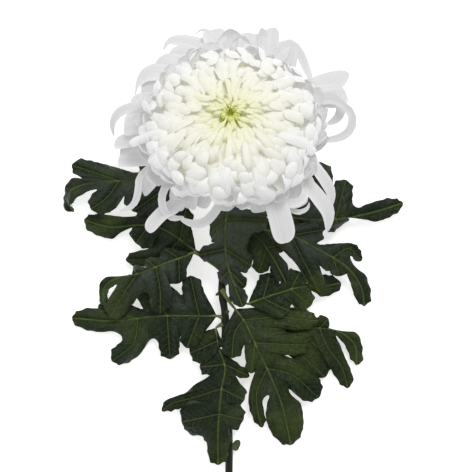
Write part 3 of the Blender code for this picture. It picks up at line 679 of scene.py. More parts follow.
LEAF_UPPER = LeafFinish()
LEAF_UNDER = LeafFinish("leaf under", (0.030, 0.048, 0.020), (0.045, 0.065, 0.022), (0.08, 0.11, 0.04),
                        (0.055, 0.07, 0.05), 0.06)
BRACT = PlantFinish("bract", (0.10, 0.14, 0.04), (0.20, 0.25, 0.09))
RIB = PlantFinish("rib", (0.080, 0.106, 0.032), (0.165, 0.205, 0.068))
STEM_SKIN = PlantFinish("stem", (0.006, 0.008, 0.003), (0.013, 0.016, 0.006), 0.6)
SIDE_GROWTH = PlantFinish("side growth", (0.035, 0.050, 0.018), (0.10, 0.13, 0.06))
PITH = PlainFinish("pith", (0.55, 0.58, 0.38), (0.68, 0.68, 0.50), 900.0)
HAIR = PlainFinish("hair", (0.6, 0.62, 0.5), (0.7, 0.7, 0.6), 500.0)
FLOOR = PlainFinish("floor", (0.88, 0.88, 0.88), (0.90, 0.90, 0.90), 3.0, 0.8, glow=0.6)


@dataclass(frozen=True)
class PetalCut:
    """How one petal is cut and curled.

    Attributes:
        half_width: Half of its greatest width.
        cup: Half angle in radians of its hollow section.
        blunt: 0 for a pointed end, 1 for a broad round one.
        twist: Turn in radians from root to tip.
        roll: Turn in radians at the root.
        thickness: Thickness at the middle of its width.
        ripple: Height of the waves of its edges.
        phase: Where the waves start, in radians.
        furrow: Depth of the two furrows along it.
        widest: Share of the length at which it is widest.
        waist: Width at the root as a share of the greatest width.
    """

    half_width: float
    cup: float = 0.8
    blunt: float = 0.5
    twist: float = 0.0
    roll: float = 0.0
    thickness: float = 0.6 * MM
    ripple: float = 0.0
    phase: float = 0.0
    furrow: float = 0.0
    widest: float = 0.76
    waist: float = 0.42

    def width_at(self, u: Array) -> Array:
        """Half width along the petal, from its waisted root to its rounded tip.

        Args:
            u: Shares of its length.

        Returns:
            One half width for each share.
        """
        swell = self.waist + (1 - self.waist) * np.sin(np.minimum(1.0, u / self.widest) * math.pi / 2) ** 1.2
        past = np.maximum(0.0, (u - self.widest) / (1 - self.widest))
        return self.half_width * swell * np.sqrt(np.maximum(0.0, 1 - past ** (1.5 + 2.5 * self.blunt)))

    def pose(self, piece: Piece, skin: Skin, spine: Spine, stations: Array, age: float) -> None:
        """Adds the petal to a piece.

        Args:
            piece: The piece to add to.
            skin: The closed skin to pose.
            spine: The line that the petal follows from root to tip.
            stations: Shares of the length of the skin's rings.
            age: 0 for the youngest petal of the bloom, 1 for the oldest.
        """
        v, lift = np.cos(skin.turns)[None, :], np.sin(skin.turns)[None, :]
        u = stations[:, None]
        point, side, normal = (a[:, None, :] for a in spine.frames(stations))
        turn = (self.roll + self.twist * u)[..., None]
        side, normal = (side * np.cos(turn) + normal * np.sin(turn),
                        normal * np.cos(turn) - side * np.sin(turn))
        width = self.width_at(stations)[:, None]
        thick = self.thickness * (0.35 + 0.65 * np.sqrt(np.maximum(0.0, 1 - u ** 6)))
        wave = self.ripple * np.sin(u * 14 + self.phase + 1.3 * v) * np.abs(v) ** 3 * ease(u, 0.3, 0.7)
        groove = self.furrow * np.cos(2 * math.pi * v) * ease(u, 0.15, 0.5) * (1 - ease(u, 0.85, 1.0))
        depth = width * (1 - np.cos(self.cup * v)) / self.cup + lift * thick / 2 + wave - groove
        reach = width * np.sin(self.cup * v) / self.cup
        places = point + side * reach[..., None] + normal * depth[..., None]
        places[..., 2] = np.maximum(places[..., 2], 0.0)
        piece.sweep(skin, places, along=u, across=v, age=age)


@dataclass(frozen=True)
class BloomFrame:
    """Where the bloom stands and the dome that its petals close over.

    Attributes:
        centre: The bloom's centre in the model.
        lean: Lean of its axis from the vertical towards +Y, in radians.
        dome_radius: Radius of the dome of incurved petals.
        dome_height: Height of the dome above its widest ring.
        dome_base: Height of that ring above the centre.
        crown_shift: How far the dome's crown lies off the axis, towards the stem.
    """

    centre: tuple[float, float, float] = (-2.4 * MM, 92.3 * MM, 40 * MM)
    lean: float = math.radians(28)
    dome_radius: float = 50 * MM
    dome_height: float = 25 * MM
    dome_base: float = 25 * MM
    crown_shift: float = 4.5 * MM

    def matrix(self) -> Matrix:
        """From the bloom's own frame, with its axis along Z, to the model."""
        return Matrix.Translation(self.centre) @ Matrix.Rotation(-self.lean, 4, "X")

    def shift_at(self, height: Array | float) -> Array:
        """How far the bloom lies off its axis at a height."""
        return self.crown_shift * ease(height, self.dome_base, self.dome_base + self.dome_height)

    def in_model(self, radius: float, height: float, azimuth: float) -> Array:
        """The place of a point given by radius, height and azimuth about the axis."""
        y = radius * math.sin(azimuth) - float(self.shift_at(height))
        return np.array(self.matrix() @ Vector((radius * math.cos(azimuth), y, height)))

    def places(self, profile: Profile, azimuth: float, sweep: float = 0.0) -> list[Array]:
        """Places of radii and heights, with an azimuth that moves on by `sweep` from each to the next."""
        return [self.in_model(radius, height, azimuth + sweep * step)
                for step, (radius, height) in enumerate(profile)]

    def around(self, azimuth: float) -> Array:
        """The direction that runs round the axis at an azimuth."""
        return self.in_model(1, 0, azimuth + math.pi / 2) - self.in_model(0, 0, 0)

    def azimuth_of(self, place: Array) -> float:
        """The azimuth about the axis of a place in the model."""
        local = self.matrix().inverted() @ Vector(place)
        return math.atan2(local.y, local.x)

    def dome_point(self, angle: float, depth: float) -> Pair:
        """Radius and height of a point below the dome.

        Args:
            angle: Angle from the dome's pole in degrees.
            depth: Depth below the dome; less than 0 stands proud of it.

        Returns:
            Radius and height in the bloom's frame.
        """
        turn = math.radians(angle)
        slope = Vector((math.sin(turn) / self.dome_radius, math.cos(turn) / self.dome_height)).normalized()
        return (self.dome_radius * math.sin(turn) - slope.x * depth,
                self.dome_base + self.dome_height * math.cos(turn) - slope.y * depth)

    def over_dome(self, point: Drawn) -> Array:
        """The place where the eye meets the dome, or the slope that carries it on past its rim.

        Args:
            point: Drawn x and y, and the height above the dome in millimetres.

        Returns:
            The place in the model.
        """
        x, y, lift = point
        share = np.linspace(0.0, 1.0, 500)[:, None]
        ray = DRAWING.seen((x, y, 120)) * (1 - share) + DRAWING.seen((x, y, 5)) * share
        local = (ray - np.array(self.centre)) @ np.array(self.matrix().to_3x3())
        radius = np.hypot(local[:, 0], local[:, 1] + self.shift_at(local[:, 2]))
        rim = 0.94 * self.dome_radius
        arc = np.sqrt(1 - (np.minimum(radius, rim) / self.dome_radius) ** 2)
        slope = self.dome_base + self.dome_height * arc - 1.3 * np.maximum(0.0, radius - rim)
        return ray[int(np.argmax(local[:, 2] <= slope + lift * MM))]

    def spin(self, piece: Piece, outline: Profile, turns: int, along: float) -> None:
        """Starts an empty piece with a closed body, spun about the bloom's axis.

        Args:
            piece: The piece.
            outline: Radius and height of the body's profile, from one end to the other.
            turns: Number of steps round it.
            along: Its value `along`.
        """
        bm = piece.bm
        ends = [(0.0, outline[0][1]), *outline, (0.0, outline[-1][1])]
        points = [bm.verts.new((radius, 0, height)) for radius, height in ends]
        edges = [bm.edges.new(pair) for pair in zip(points, points[1:])]
        bmesh.ops.spin(bm, geom=[*points, *edges], cent=(0, 0, 0), axis=(0, 0, 1), angle=2 * math.pi,
                       steps=turns, use_merge=True)
        bmesh.ops.remove_doubles(bm, verts=bm.verts, dist=WELD)
        bmesh.ops.recalc_face_normals(bm, faces=bm.faces)
        reach = np.array([vertex.co.xy.length / self.dome_radius for vertex in bm.verts])
        for vertex in bm.verts:
            vertex.co.y -= float(self.shift_at(vertex.co.z))
        bmesh.ops.transform(bm, matrix=self.matrix(), verts=bm.verts)
        piece.values = {"along": [np.full(len(reach), along)], "across": [np.zeros(len(reach))],
                        "age": [reach * 0.85]}


@dataclass
class BloomCore:
    """The hidden core that the petals spring from, which closes the view between them.

    Attributes:
        frame: Where the bloom stands.
        foot: Radius and height in millimetres of its lower profile, from the cup up to the dome.
        depths: Angle from the dome's pole in degrees, and depth below the dome in millimetres.
        turns: Number of steps round it.
    """

    frame: BloomFrame
    foot: Profile = ((2, 0.6), (12, 0.8), (21, 4.5), (29, 8), (35, 14))
    depths: Profile = ((82, 10), (70, 7), (58, 5.5), (46, 5), (34, 5), (24, 5.4), (15, 6.2), (10, 7.5),
                       (6, 9.5), (2, 11.5))
    turns: int = 48

    def build(self, finish: Material) -> None:
        """Spins the core.

        Args:
            finish: Its finish.
        """
        piece = Piece("petal_core")
        upper = [self.frame.dome_point(angle, depth * MM) for angle, depth in self.depths]
        # Its value along of 0.2 paints it the cream of deep petal roots, so that where it shows between the
        # petals it passes for the shade there: painted shade.
        self.frame.spin(piece, [*metres(self.foot), *upper], self.turns, 0.2)
        piece.finish([finish], ["ray_petals"], "petal_white")


Petal = tuple[list[Array], float, PetalCut, float]


@dataclass
class PetalLayer:
    """Petals, florets or bracts round the bloom's axis, made into one piece.

    Attributes:
        frame: Where the bloom stands.
        name: Name of the piece.
        stations: Shares of a petal's length at which its skin has a ring.
        ring: Corners of each ring.
        seed: Start of the random draws.
        node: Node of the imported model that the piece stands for.
        slot: Material slot of the record that its finish belongs to.
    """

    frame: BloomFrame
    name: str = ""
    stations: tuple[float, ...] = ()
    ring: int = 8
    seed: int = 0
    node: str = "ray_petals"
    slot: str = "petal_white"

    def petals(self, draw: random.Random) -> Iterator[Petal]:
        """Cuts and places the petals, one after the other.

        Args:
            draw: Source of the random draws.

        Returns:
            For each petal its places from root to tip, its azimuth, its cut, and its age from 0 to 1.
        """
        raise NotImplementedError

    def lay_bed(self, piece: Piece) -> None:
        """Puts what the petals stand on into the empty piece; most layers have nothing of the kind."""

    def build(self, finish: Material) -> None:
        """Sets out the petals.

        Args:
            finish: Their finish.
        """
        piece = Piece(self.name)
        self.lay_bed(piece)
        skin, stations = Skin(len(self.stations), self.ring), np.array(self.stations)
        for points, azimuth, cut, age in self.petals(random.Random(self.seed)):
            cut.pose(piece, skin, Spine(points, self.frame.around(azimuth)), stations, age)
        piece.finish([finish], [self.node], self.slot)


@dataclass
class DomePetals(PetalLayer):
    """The incurved petals of the dome, set out as a plant does, each a golden turn from the last.

    Attributes:
        sizes: Polar angle of the tips in degrees, with the petals' width and the length that the
            next ones leave bare there, in millimetres.
        overlap: Share of its own area that a petal keeps to itself.
        run: Angle in degrees that a petal's arch spans near the eye; on the flank it spans more.
        lift: Height above the dome.
        cup: Half angle in radians of the petals' section.
        upright: A petal in the well, from root to tip: degrees outwards from its tip, and depth in
            millimetres under the dome.
    """

    name: str = "petals_dome"
    stations: tuple[float, ...] = (0.0, 0.3, 0.5, 0.64, 0.75, 0.84, 0.91, 0.96, 0.99, 1.0)
    ring: int = 10
    seed: int = 11
    sizes: tuple[tuple[float, float, float], ...] = (
        (4, 2.2, 4.4), (8, 2.8, 5.2), (14, 3.9, 6.0), (24, 5.6, 7.4), (36, 8.4, 10.0), (52, 11.5, 15.0),
        (76, 14.0, 24.0), (94, 15.0, 26.0))
    overlap: float = 0.48
    run: float = 13.0
    lift: float = -1.1 * MM
    cup: float = 0.85
    upright: Profile = ((4, 17), (6.5, 10), (7.5, 4), (5.5, 0.6), (0, -0.3))

    def size_at(self, angle: Array | float, column: int) -> Array:
        """A column of the table of sizes, at polar angles in degrees."""
        table = np.array(self.sizes)
        return np.interp(angle, table[:, 0], table[:, column]) * MM

    def angles(self) -> Array:
        """Spaces the petals so that each covers its share of the dome.

        Returns:
            Polar angles in degrees of their tips, from the eye outwards.
        """
        angle = np.linspace(self.sizes[0][0], self.sizes[-1][0], 400)
        turn = np.radians(angle)
        slant = np.hypot(self.frame.dome_radius * np.cos(turn), self.frame.dome_height * np.sin(turn))
        bare = self.size_at(angle, 1) * self.size_at(angle, 2) * self.overlap
        density = 2 * math.pi * self.frame.dome_radius * np.sin(turn) * slant / bare
        total = np.concatenate(([0.0], np.cumsum(density[:-1] * np.diff(turn))))
        return np.interp(np.arange(int(total[-1])) + 0.5, total, angle)

    def points(self, tip_angle: float, azimuth: float, draw: random.Random) -> list[Array]:
        """Bends a petal: upright in the well round the eye, lying over the dome further out.

        Args:
            tip_angle: Polar angle of its tip in degrees.
            azimuth: Its azimuth about the axis.
            draw: Source of the random draws.

        Returns:
            Places from the core to the curled tip.
        """
        lying = float(ease(tip_angle, 3, 22))
        rise = draw.uniform(-0.9, 1.2) * MM * (0.5 + 0.5 * lying) + self.lift
        hook = draw.uniform(0.8, 3.0) * MM
        tip = draw.uniform(-3.0, 1.0)
        if draw.random() < 0.3 * lying:
            rise += draw.uniform(0.8, 2.4) * MM
            hook = -draw.uniform(0.0, 1.2) * MM
            tip = draw.uniform(1.0, 4.0)
        flank = float(ease(tip_angle, 35, 75))
        run = self.run + 9.0 * flank
        arch = (1.9 + 1.6 * flank) * MM + rise
        root = tip_angle + run
        flat = ((min(root + 19, 118), 15 * MM), (min(root + 9, 114), 7 * MM - rise),
                (min(root, 108), -0.9 * MM - rise), (tip_angle + run * 0.45 + tip * 0.4, -arch),
                (max(1.5, tip_angle + tip), hook - 1.0 * MM - rise))
        upright = [(max(1.5, tip_angle + out), depth * MM - (rise if number > 1 else 0.0))
                   for number, (out, depth) in enumerate(self.upright)]
        profile = [self.frame.dome_point(low[0] + (high[0] - low[0]) * lying,
                                         low[1] + (high[1] - low[1]) * lying)
                   for low, high in zip(upright, flat)]
        sweep = draw.gauss(0, 0.035) * (1 + 3 * math.exp(-tip_angle / 15))
        return self.frame.places(profile, azimuth, sweep)

    def petals(self, draw: random.Random) -> Iterator[Petal]:
        """Cuts and places the petals from the eye outwards.

        Args:
            draw: Source of the random draws.

        Returns:
            What `PetalLayer.petals` describes.
        """
        for index, tip_angle in enumerate(self.angles()):
            tip_angle = float(tip_angle) + draw.uniform(-1.5, 1.5) * min(1.0, tip_angle / 20)
            azimuth = index * GOLDEN_TURN + draw.uniform(-0.06, 0.06)
            cut = PetalCut(float(self.size_at(tip_angle, 1)) * draw.uniform(0.9, 1.12) / 2,
                           self.cup * draw.uniform(0.8, 1.2), draw.uniform(0.45, 0.95),
                           draw.uniform(-0.3, 0.3), draw.gauss(0, 0.14), ripple=0.2 * MM,
                           phase=draw.uniform(0, 6))
            yield self.points(tip_angle, azimuth, draw), azimuth, cut, tip_angle / 120


@dataclass
class LongDomePetals(DomePetals):
    """The longer petals that lie over the dome's short ones like straps."""

    name: str = "petals_dome_long"
    seed: int = 13
    sizes: tuple[tuple[float, float, float], ...] = (
        (11, 4.0, 7.0), (19, 5.4, 9.5), (36, 8.2, 14.0), (52, 10.8, 19.0), (72, 12.5, 26.0),
        (90, 13.5, 28.0))
    overlap: float = 0.95
    run: float = 21.0
    lift: float = 0.3 * MM
    cup: float = 0.9


@dataclass(frozen=True)
class PetalRing:
    """One ring of like petals that spread below the dome.

    Attributes:
        profile: Radius and height in millimetres of the points that a petal passes.
        count: Number of petals.
        width: Greatest width of a petal.
        cup: Half angle in radians of its section.
        wander: Greatest height in millimetres by which a tip strays.
        age: Age of the petals, from 0 to 1.
    """

    profile: tuple[Pair, ...]
    count: int
    width: float
    cup: float
    wander: float
    age: float


@dataclass
class SpreadingPetals(PetalLayer):
    """Rings of petals that spread from under the dome, cup upwards and close the bloom's back.

    Attributes:
        rings: The rings, from the dome down to the cup.
        trim: Share by which the petals on the stem's side are shorter.
        window: Azimuths in degrees between which the outer rings are left open for the stem.
    """

    name: str = "petals_spreading"
    stations: tuple[float, ...] = (0.0, 0.25, 0.45, 0.62, 0.76, 0.87, 0.94, 0.985, 1.0)
    seed: int = 23
    rings: tuple[PetalRing, ...] = (
        PetalRing(((22, 12), (38, 14), (48, 20), (53, 28), (53, 34)), 24, 14 * MM, 0.85, 3.5, 0.72),
        PetalRing(((20, 8), (38, 9), (49, 14), (56, 20), (58, 26)), 26, 14.5 * MM, 0.8, 4.0, 0.80),
        PetalRing(((9, 1.5), (22, 4.5), (40, 7), (53, 12), (58, 19)), 23, 15 * MM, 0.7, 4.0, 0.93),
        PetalRing(((9, 0.9), (20, 2.5), (34, 3), (47, 6), (55, 11)), 21, 15 * MM, 0.6, 3.0, 1.0),
    )
    trim: float = 0.12
    window: Pair = (240.0, 264.0)

    def petals(self, draw: random.Random) -> Iterator[Petal]:
        """Cuts and places the petals ring by ring.

        Args:
            draw: Source of the random draws.

        Returns:
            What `PetalLayer.petals` describes.
        """
        low, high = self.window
        for number, ring in enumerate(self.rings):
            shares = np.linspace(0.0, 1.0, len(ring.profile))
            for index in range(ring.count):
                azimuth = 2 * math.pi * (index + 0.5 * number + draw.uniform(-0.2, 0.2)) / ring.count
                sweep = draw.gauss(0, 0.03)
                rise = draw.uniform(-1, 1) * ring.wander
                reach = draw.uniform(0.94, 1.04) - self.trim * max(0.0, -math.sin(azimuth)) ** 2
                if number >= 1 and low < math.degrees(azimuth) % 360 < high:
                    continue
                profile = [(radius * (1 + (reach - 1) * share), height + rise * share ** 2)
                           for share, (radius, height) in zip(shares, ring.profile)]
                cut = PetalCut(ring.width * draw.uniform(0.85, 1.1) / 2, ring.cup * draw.uniform(0.8, 1.2),
                               draw.uniform(0.3, 0.8), draw.uniform(-0.4, 0.4), draw.gauss(0, 0.1),
                               ripple=0.4 * MM, phase=draw.uniform(0, 6))
                yield self.frame.places(metres(profile), azimuth, sweep), azimuth, cut, ring.age


@dataclass(frozen=True)
class OuterPetal:
    """One long spreading petal.

    Attributes:
        line: Drawn points that it passes, past the dome.
        width: Greatest width in units of the drawing.
        cup: Half angle in radians of its section.
        blunt: 0 for a pointed end, 1 for a broad round one.
        twist: Turn in radians from root to tip.
    """

    line: tuple[Drawn, ...]
    width: float
    cup: float = 0.8
    blunt: float = 0.35
    twist: float = 0.0


OUTER_PETALS = tuple(OuterPetal(*row) for row in (
    (((208, 52, 15), (195, 45, 11), (181, 41.5, 8), (170, 42, 5), (163.5, 50, 2)), 18, 0.6, 0.1),
    (((219, 60, 20), (216, 44, 14), (211, 30, 7)), 26, 0.9, 0.8),
    (((216, 54, 15), (212, 39, 11), (206, 31, 8), (200, 31, 6), (195.5, 35, 4)), 7, 0.7, 0.2),
    (((231, 60, 20), (230, 46, 13), (229.5, 36, 13), (229, 28.3, 17)), 26, 0.9, 0.8, 0.1),
    (((248, 60, 20), (250, 47, 15), (252, 33.5, 9)), 26, 0.9, 0.8, -0.1),
    (((262, 54, 17), (262, 42, 13), (261.5, 27.5, 16)), 13, 0.8, 0.6),
    (((221, 62, 20), (221, 48, 10), (220, 32, 2)), 28, 0.6, 1.0),
    (((240, 62, 20), (241, 50, 13), (242.5, 43, 12), (243.5, 36, 15)), 22, 0.9, 0.8),
    (((262, 62, 20), (262, 50, 10), (263, 35, 2)), 26, 0.7, 1.0),
    (((270, 66, 22), (277, 55, 17), (281, 46, 11)), 24, 0.8, 0.8),
    (((252, 72, 34), (253, 58, 27), (255, 45, 19)), 24, 0.9, 0.9),
    (((206, 64, 21), (199, 55, 18), (192, 51, 13)), 26, 0.8, 0.8),
    (((264, 60, 20), (270, 44, 14), (273, 27.5, 8)), 20, 0.9, 0.4),
    (((280, 84, 26), (285, 65, 21), (287, 47, 13)), 25, 0.8, 0.9),
    (((276, 64, 19), (279, 52, 17), (284.5, 45, 15), (291, 45, 13), (297, 50, 11), (302, 59, 10),
      (306.5, 70, 10), (312, 82, 12)), 12, 0.7, 0.1, 0.8),
    (((298, 95, 28), (318, 89, 26), (334, 82, 24), (348.5, 72.5, 22)), 25, 0.5, 0.1, 0.1),
    (((296, 100, 33), (318, 98, 33), (334, 97, 31), (346.5, 94, 28)), 26, 0.5, 0.8),
    (((326, 97, 36), (339, 102, 35), (341, 111, 33), (336, 119, 31), (327.5, 124, 29)), 11, 0.6, 0.3, 0.9),
    (((322, 101, 40), (343, 105, 43), (351.5, 113, 43), (353, 122, 42), (349.5, 131, 40), (339, 138, 38),
      (318, 141, 36)), 9, 0.7, 0.2, 0.9),
    (((294, 116, 44), (308, 118, 45), (319, 122, 43), (327, 127, 39)), 18, -0.5, 0.8),
    (((303, 150, 50), (315, 167, 54), (325, 181, 53), (330.5, 193, 50), (331.5, 207, 46)), 12, 0.7, 0.0),
    (((298, 172, 57), (308, 186, 58), (318, 198, 56), (327, 212, 52), (327.5, 232, 45)), 16, 0.7, 0.0),
    (((282, 164, 60), (287, 180, 57), (291, 195, 56), (294, 209, 57)), 31, 1.0, 1.0),
    (((268, 176, 64), (275, 192, 66), (285, 202, 65), (297, 203, 63), (304.5, 195, 62),
      (304, 184, 62)), 9, 0.7, 0.4),
    (((283, 200, 60), (290, 209, 58), (299, 212, 56), (307, 208.5, 55), (309.5, 202, 54)), 5.5),
    (((270, 186, 66), (276, 206, 66), (281, 224, 62), (285.5, 243, 57)), 24, 0.7, 0.5),
    (((258, 168, 62), (262, 190, 65), (266, 211, 60)), 30, 0.8, 1.0),
    (((240, 176, 64), (241, 191, 67), (242, 204.5, 61)), 26, -0.4, 1.0),
    (((226, 184, 64), (220.5, 202, 64), (214, 213, 62), (206, 221, 59), (196, 223.5, 56), (186, 221, 53),
      (178.5, 216.5, 51)), 9.5, 0.7, 0.2),
    (((209, 176, 62), (206, 187, 60), (201, 197, 57), (196, 205, 56)), 26, 1.0, 0.9),
    (((185, 174, 57), (181, 190, 53), (180, 202, 50), (180, 211, 49)), 21, 0.9, 0.7),
    (((200, 174, 62), (194, 188, 61), (191, 200, 58), (191, 209, 55)), 17, 0.9, 0.8),
    (((177, 166, 58), (171, 180, 59), (163.8, 191, 59), (162.3, 202, 58), (166, 211.5, 56),
      (173, 217, 54), (184, 217, 52)), 9, 0.8, 0.3),
    (((193, 189, 57), (182, 194, 58), (169, 195, 57)), 9, -0.8, 0.8),
    (((178, 203, 55), (166, 211, 54), (156, 221, 50), (147.5, 231.5, 47)), 16, 0.6, 0.7),
    (((160, 162, 50), (147, 170, 50), (140, 178, 50), (139, 189, 50), (137, 198, 48), (132, 206, 45),
      (120, 211.5, 42)), 8, 0.8, 0.0),
    (((183, 152, 54), (168, 164, 55), (156, 174, 54), (149, 184, 51), (144.5, 195.5, 48)), 19, 0.6, 0.05),
    (((178, 148, 48), (158, 153, 44), (138, 155, 39), (120, 155, 34)), 33, 0.8, 1.0),
    (((165, 133, 44), (142, 138, 41), (126, 142, 37), (114.5, 144, 33)), 17, 0.6, 0.8),
    (((170, 120, 43), (154, 122, 41), (140, 124, 38), (124, 127, 34)), 28, 0.6, 0.9),
    (((150, 104, 36), (134, 107, 34), (122, 111, 31), (114.3, 119, 28), (112.7, 127, 26),
      (114, 136, 24)), 10.5, 0.7, 0.0, -0.5),
    (((172, 102, 35), (156, 104, 33), (143, 107, 29), (130, 111, 25)), 28, 0.9, 0.8, 0.1),
    (((172, 80, 28), (154, 74, 23), (143, 79, 19), (138, 86, 15), (135.5, 94, 12)), 22, 0.6, 0.2),
    (((172, 90, 30), (156, 89, 27), (141, 91, 21)), 28, 0.8, 0.9),
    (((188, 72, 24), (171, 63, 19), (161, 66, 16), (156.5, 73, 13), (155, 81, 11)), 21, 0.6, 0.3),
    (((198, 64, 20), (184, 55, 17), (175, 58, 14), (169, 64, 11)), 24, 0.5, 0.6),
))

MANTLE_PETALS = tuple(OuterPetal(*row) for row in (
    (((272, 132, -3), (288, 134, 3.5), (303, 139, 4.5), (316.5, 150, 1)), 18, -1.0, 0.8),
    (((280, 146, -3), (292, 155, 3), (300, 166, 3), (302, 179, -2)), 18, -1.0, 0.9),
    (((256, 160, -2), (258, 177, 3.5), (259, 192, 3), (259.5, 205, -3)), 18, -1.1, 0.9),
    (((228, 162, -2), (223, 177, 3.5), (221, 190, 3), (222, 199, -2)), 19, -1.1, 0.9),
    (((202, 162, -2), (195, 174, 3.5), (193, 185, 3), (194, 194, -1)), 18, -1.1, 0.9),
    (((170, 130, -2), (154, 132, 3.5), (141, 137, 3), (129, 142, -1)), 13, -1.0, 0.8),
    (((178, 142, -2), (166, 150, 3.5), (156, 156, 3), (148, 162, -2)), 16, -1.0, 0.8),
))


@dataclass
class OuterPetals(PetalLayer):
    """The long outer petals, each drawn as it lies.

    Attributes:
        spread: The petals that spread past the dome, with heights above the table.
        mantle: The petals that lie over its flank, with heights above the dome.
        root: Radius and height in millimetres where a spreading petal leaves the cup and the core.
        mantle_root: The same where a petal of the mantle leaves the core.
        widening: Factor that makes up for what a cupped section takes off the drawn width.
    """

    name: str = "petals_outer"
    stations: tuple[float, ...] = (
        *(0.045 * step for step in range(21)), 0.93, 0.955, 0.975, 0.99, 0.997, 1.0)
    ring: int = 12
    seed: int = 31
    spread: tuple[OuterPetal, ...] = OUTER_PETALS
    mantle: tuple[OuterPetal, ...] = MANTLE_PETALS
    root: Profile = ((9, 1.5), (17, 6))
    mantle_root: Profile = ((24, 27),)
    widening: float = 1.06

    def petals(self, draw: random.Random) -> Iterator[Petal]:
        """Cuts and places the petals as drawn.

        Args:
            draw: Source of the random draws.

        Returns:
            What `PetalLayer.petals` describes.
        """
        groups = ((self.spread, DRAWING.seen, self.root, (0.95, 1.0)),
                  (self.mantle, self.frame.over_dome, self.mantle_root, (0.52, 0.62)))
        for drawn, place, root, ages in groups:
            for petal in drawn:
                line = [place(point) for point in petal.line]
                azimuth = self.frame.azimuth_of(line[0])
                age = draw.uniform(*ages)
                cut = PetalCut(petal.width * DRAWING.unit / 2 * self.widening, petal.cup, petal.blunt,
                               petal.twist, ripple=0.4 * MM, phase=draw.uniform(0, 6),
                               furrow=0.2 * MM, widest=0.76 + 0.12 * petal.blunt)
                yield [*self.frame.places(metres(root), azimuth), *line], azimuth, cut, age


@dataclass
class Eye(PetalLayer):
    """The green eye: many small pointed florets that lean together in the well of the dome.

    Attributes:
        radius: Radius of the eye.
        top: Height of its top above the bloom's centre.
        depth: Depth of the florets.
        pit: How far its middle lies below its rim.
        count: Number of florets.
        floret: Half width and thickness of a floret.
    """

    name: str = "eye_florets_fine"
    stations: tuple[float, ...] = (0.0, 0.4, 0.62, 0.8, 0.93, 1.0)
    ring: int = 6
    seed: int = 41
    node: str = "eye_florets"
    slot: str = "eye_green"
    radius: float = 5.8 * MM
    top: float = 50.6 * MM
    depth: float = 15 * MM
    pit: float = 2.4 * MM
    count: int = 130
    floret: float = 0.7 * MM

    def petals(self, draw: random.Random) -> Iterator[Petal]:
        """Cuts and places the florets from the middle outwards.

        Args:
            draw: Source of the random draws.

        Returns:
            What `PetalLayer.petals` describes.
        """
        for index in range(self.count):
            share = math.sqrt((index + 0.5) / self.count)
            azimuth = index * GOLDEN_TURN
            radius = self.radius * 0.92 * share
            top = self.top - self.pit * (1 - share) ** 0.7 + draw.uniform(-0.5, 0.5) * MM
            lean = draw.uniform(0.5, 0.8)
            profile = ((radius * 0.8, self.top - self.depth), (radius * 1.1, self.top - self.depth * 0.5),
                       (radius * 1.15, top - 2.0 * MM), (radius * lean, top))
            points = self.frame.places(profile, azimuth, draw.uniform(-0.15, 0.15))
            cut = PetalCut(self.floret * draw.uniform(0.8, 1.15), 0.9, 0.3, thickness=self.floret,
                           widest=0.6)
            yield points, azimuth, cut, share


@dataclass
class Cup(PetalLayer):
    """The green cup behind the bloom, covered by rows of overlapping bracts.

    Attributes:
        outline: Radius and height in millimetres of its profile.
        turns: Number of steps round it.
        rows: Radius and height in millimetres of a bract's root and tip, row by row.
        count: Bracts in each row.
        width: Greatest width of a bract.
    """

    name: str = "involucre_fine"
    stations: tuple[float, ...] = (0.0, 0.25, 0.45, 0.62, 0.78, 0.9, 0.97, 1.0)
    seed: int = 53
    node: str = "involucre"
    slot: str = "bract_green"
    outline: Profile = ((2.9, -13.0), (4.0, -12.4), (5.2, -11.2), (7.2, -9.4), (9.2, -7.2), (10.6, -5.0),
                        (11.2, -3.0), (11.3, 0.2), (7.0, 0.3))
    turns: int = 40
    rows: tuple[tuple[float, float, float, float], ...] = (
        (3.6, -12.2, 9.6, -6.2), (5.2, -10.8, 11.8, -3.2), (7.6, -8.0, 13.0, -0.2))
    count: int = 13
    width: float = 3.6 * MM

    def lay_bed(self, piece: Piece) -> None:
        """Spins the cup that the bracts lie on, into the empty piece."""
        self.frame.spin(piece, metres(self.outline), self.turns, 0.3)

    def petals(self, draw: random.Random) -> Iterator[Petal]:
        """Cuts and places the bracts row by row.

        Args:
            draw: Source of the random draws.

        Returns:
            What `PetalLayer.petals` describes.
        """
        for row, (radius, height, tip_radius, tip_height) in enumerate(self.rows):
            middle = ((radius + tip_radius) / 2 + 0.9, (height + tip_height) / 2 - 0.7)
            for index in range(self.count):
                azimuth = 2 * math.pi * (index + 0.5 * row + draw.uniform(-0.1, 0.1)) / self.count
                profile = ((radius, height), middle, (tip_radius + draw.uniform(-0.2, 0.4), tip_height))
                cut = PetalCut(self.width * draw.uniform(0.9, 1.1) / 2, 0.5, 0.3, thickness=0.55 * MM,
                               widest=0.6)
                yield self.frame.places(metres(profile), azimuth), azimuth, cut, row / 2


@dataclass(frozen=True)
class Lobe:
    """One side lobe of a leaf.

    Attributes:
        tip: Drawn tip.
        width: Half width in units of the drawing.
        notch: Where the notch beyond it lies, as a share of the way from midrib to edge.
        via: Drawn points that its vein bends through.
    """

    tip: Drawn
    width: float
    notch: float
    via: tuple[Drawn, ...] = ()


@dataclass(frozen=True)
class LobePair:
    """Two opposite lobes whose veins leave the midrib at one place, a share of its length."""

    place: float
    left: Lobe
    right: Lobe


@dataclass(frozen=True)
class Leaf:
    """One leaf as it lies.

    Attributes:
        name: Name of its node.
        petiole: Drawn points of its stalk.
        midrib: Drawn points of its midrib.
        pairs: Pairs of lobes from base to end.
        end_width: Half width of its end in units of the drawing.
        base_notch: Where the notch at its base lies.
    """

    name: str
    petiole: tuple[Drawn, ...]
    midrib: tuple[Drawn, ...]
    pairs: tuple[LobePair, ...]
    end_width: float
    base_notch: float = 0.3


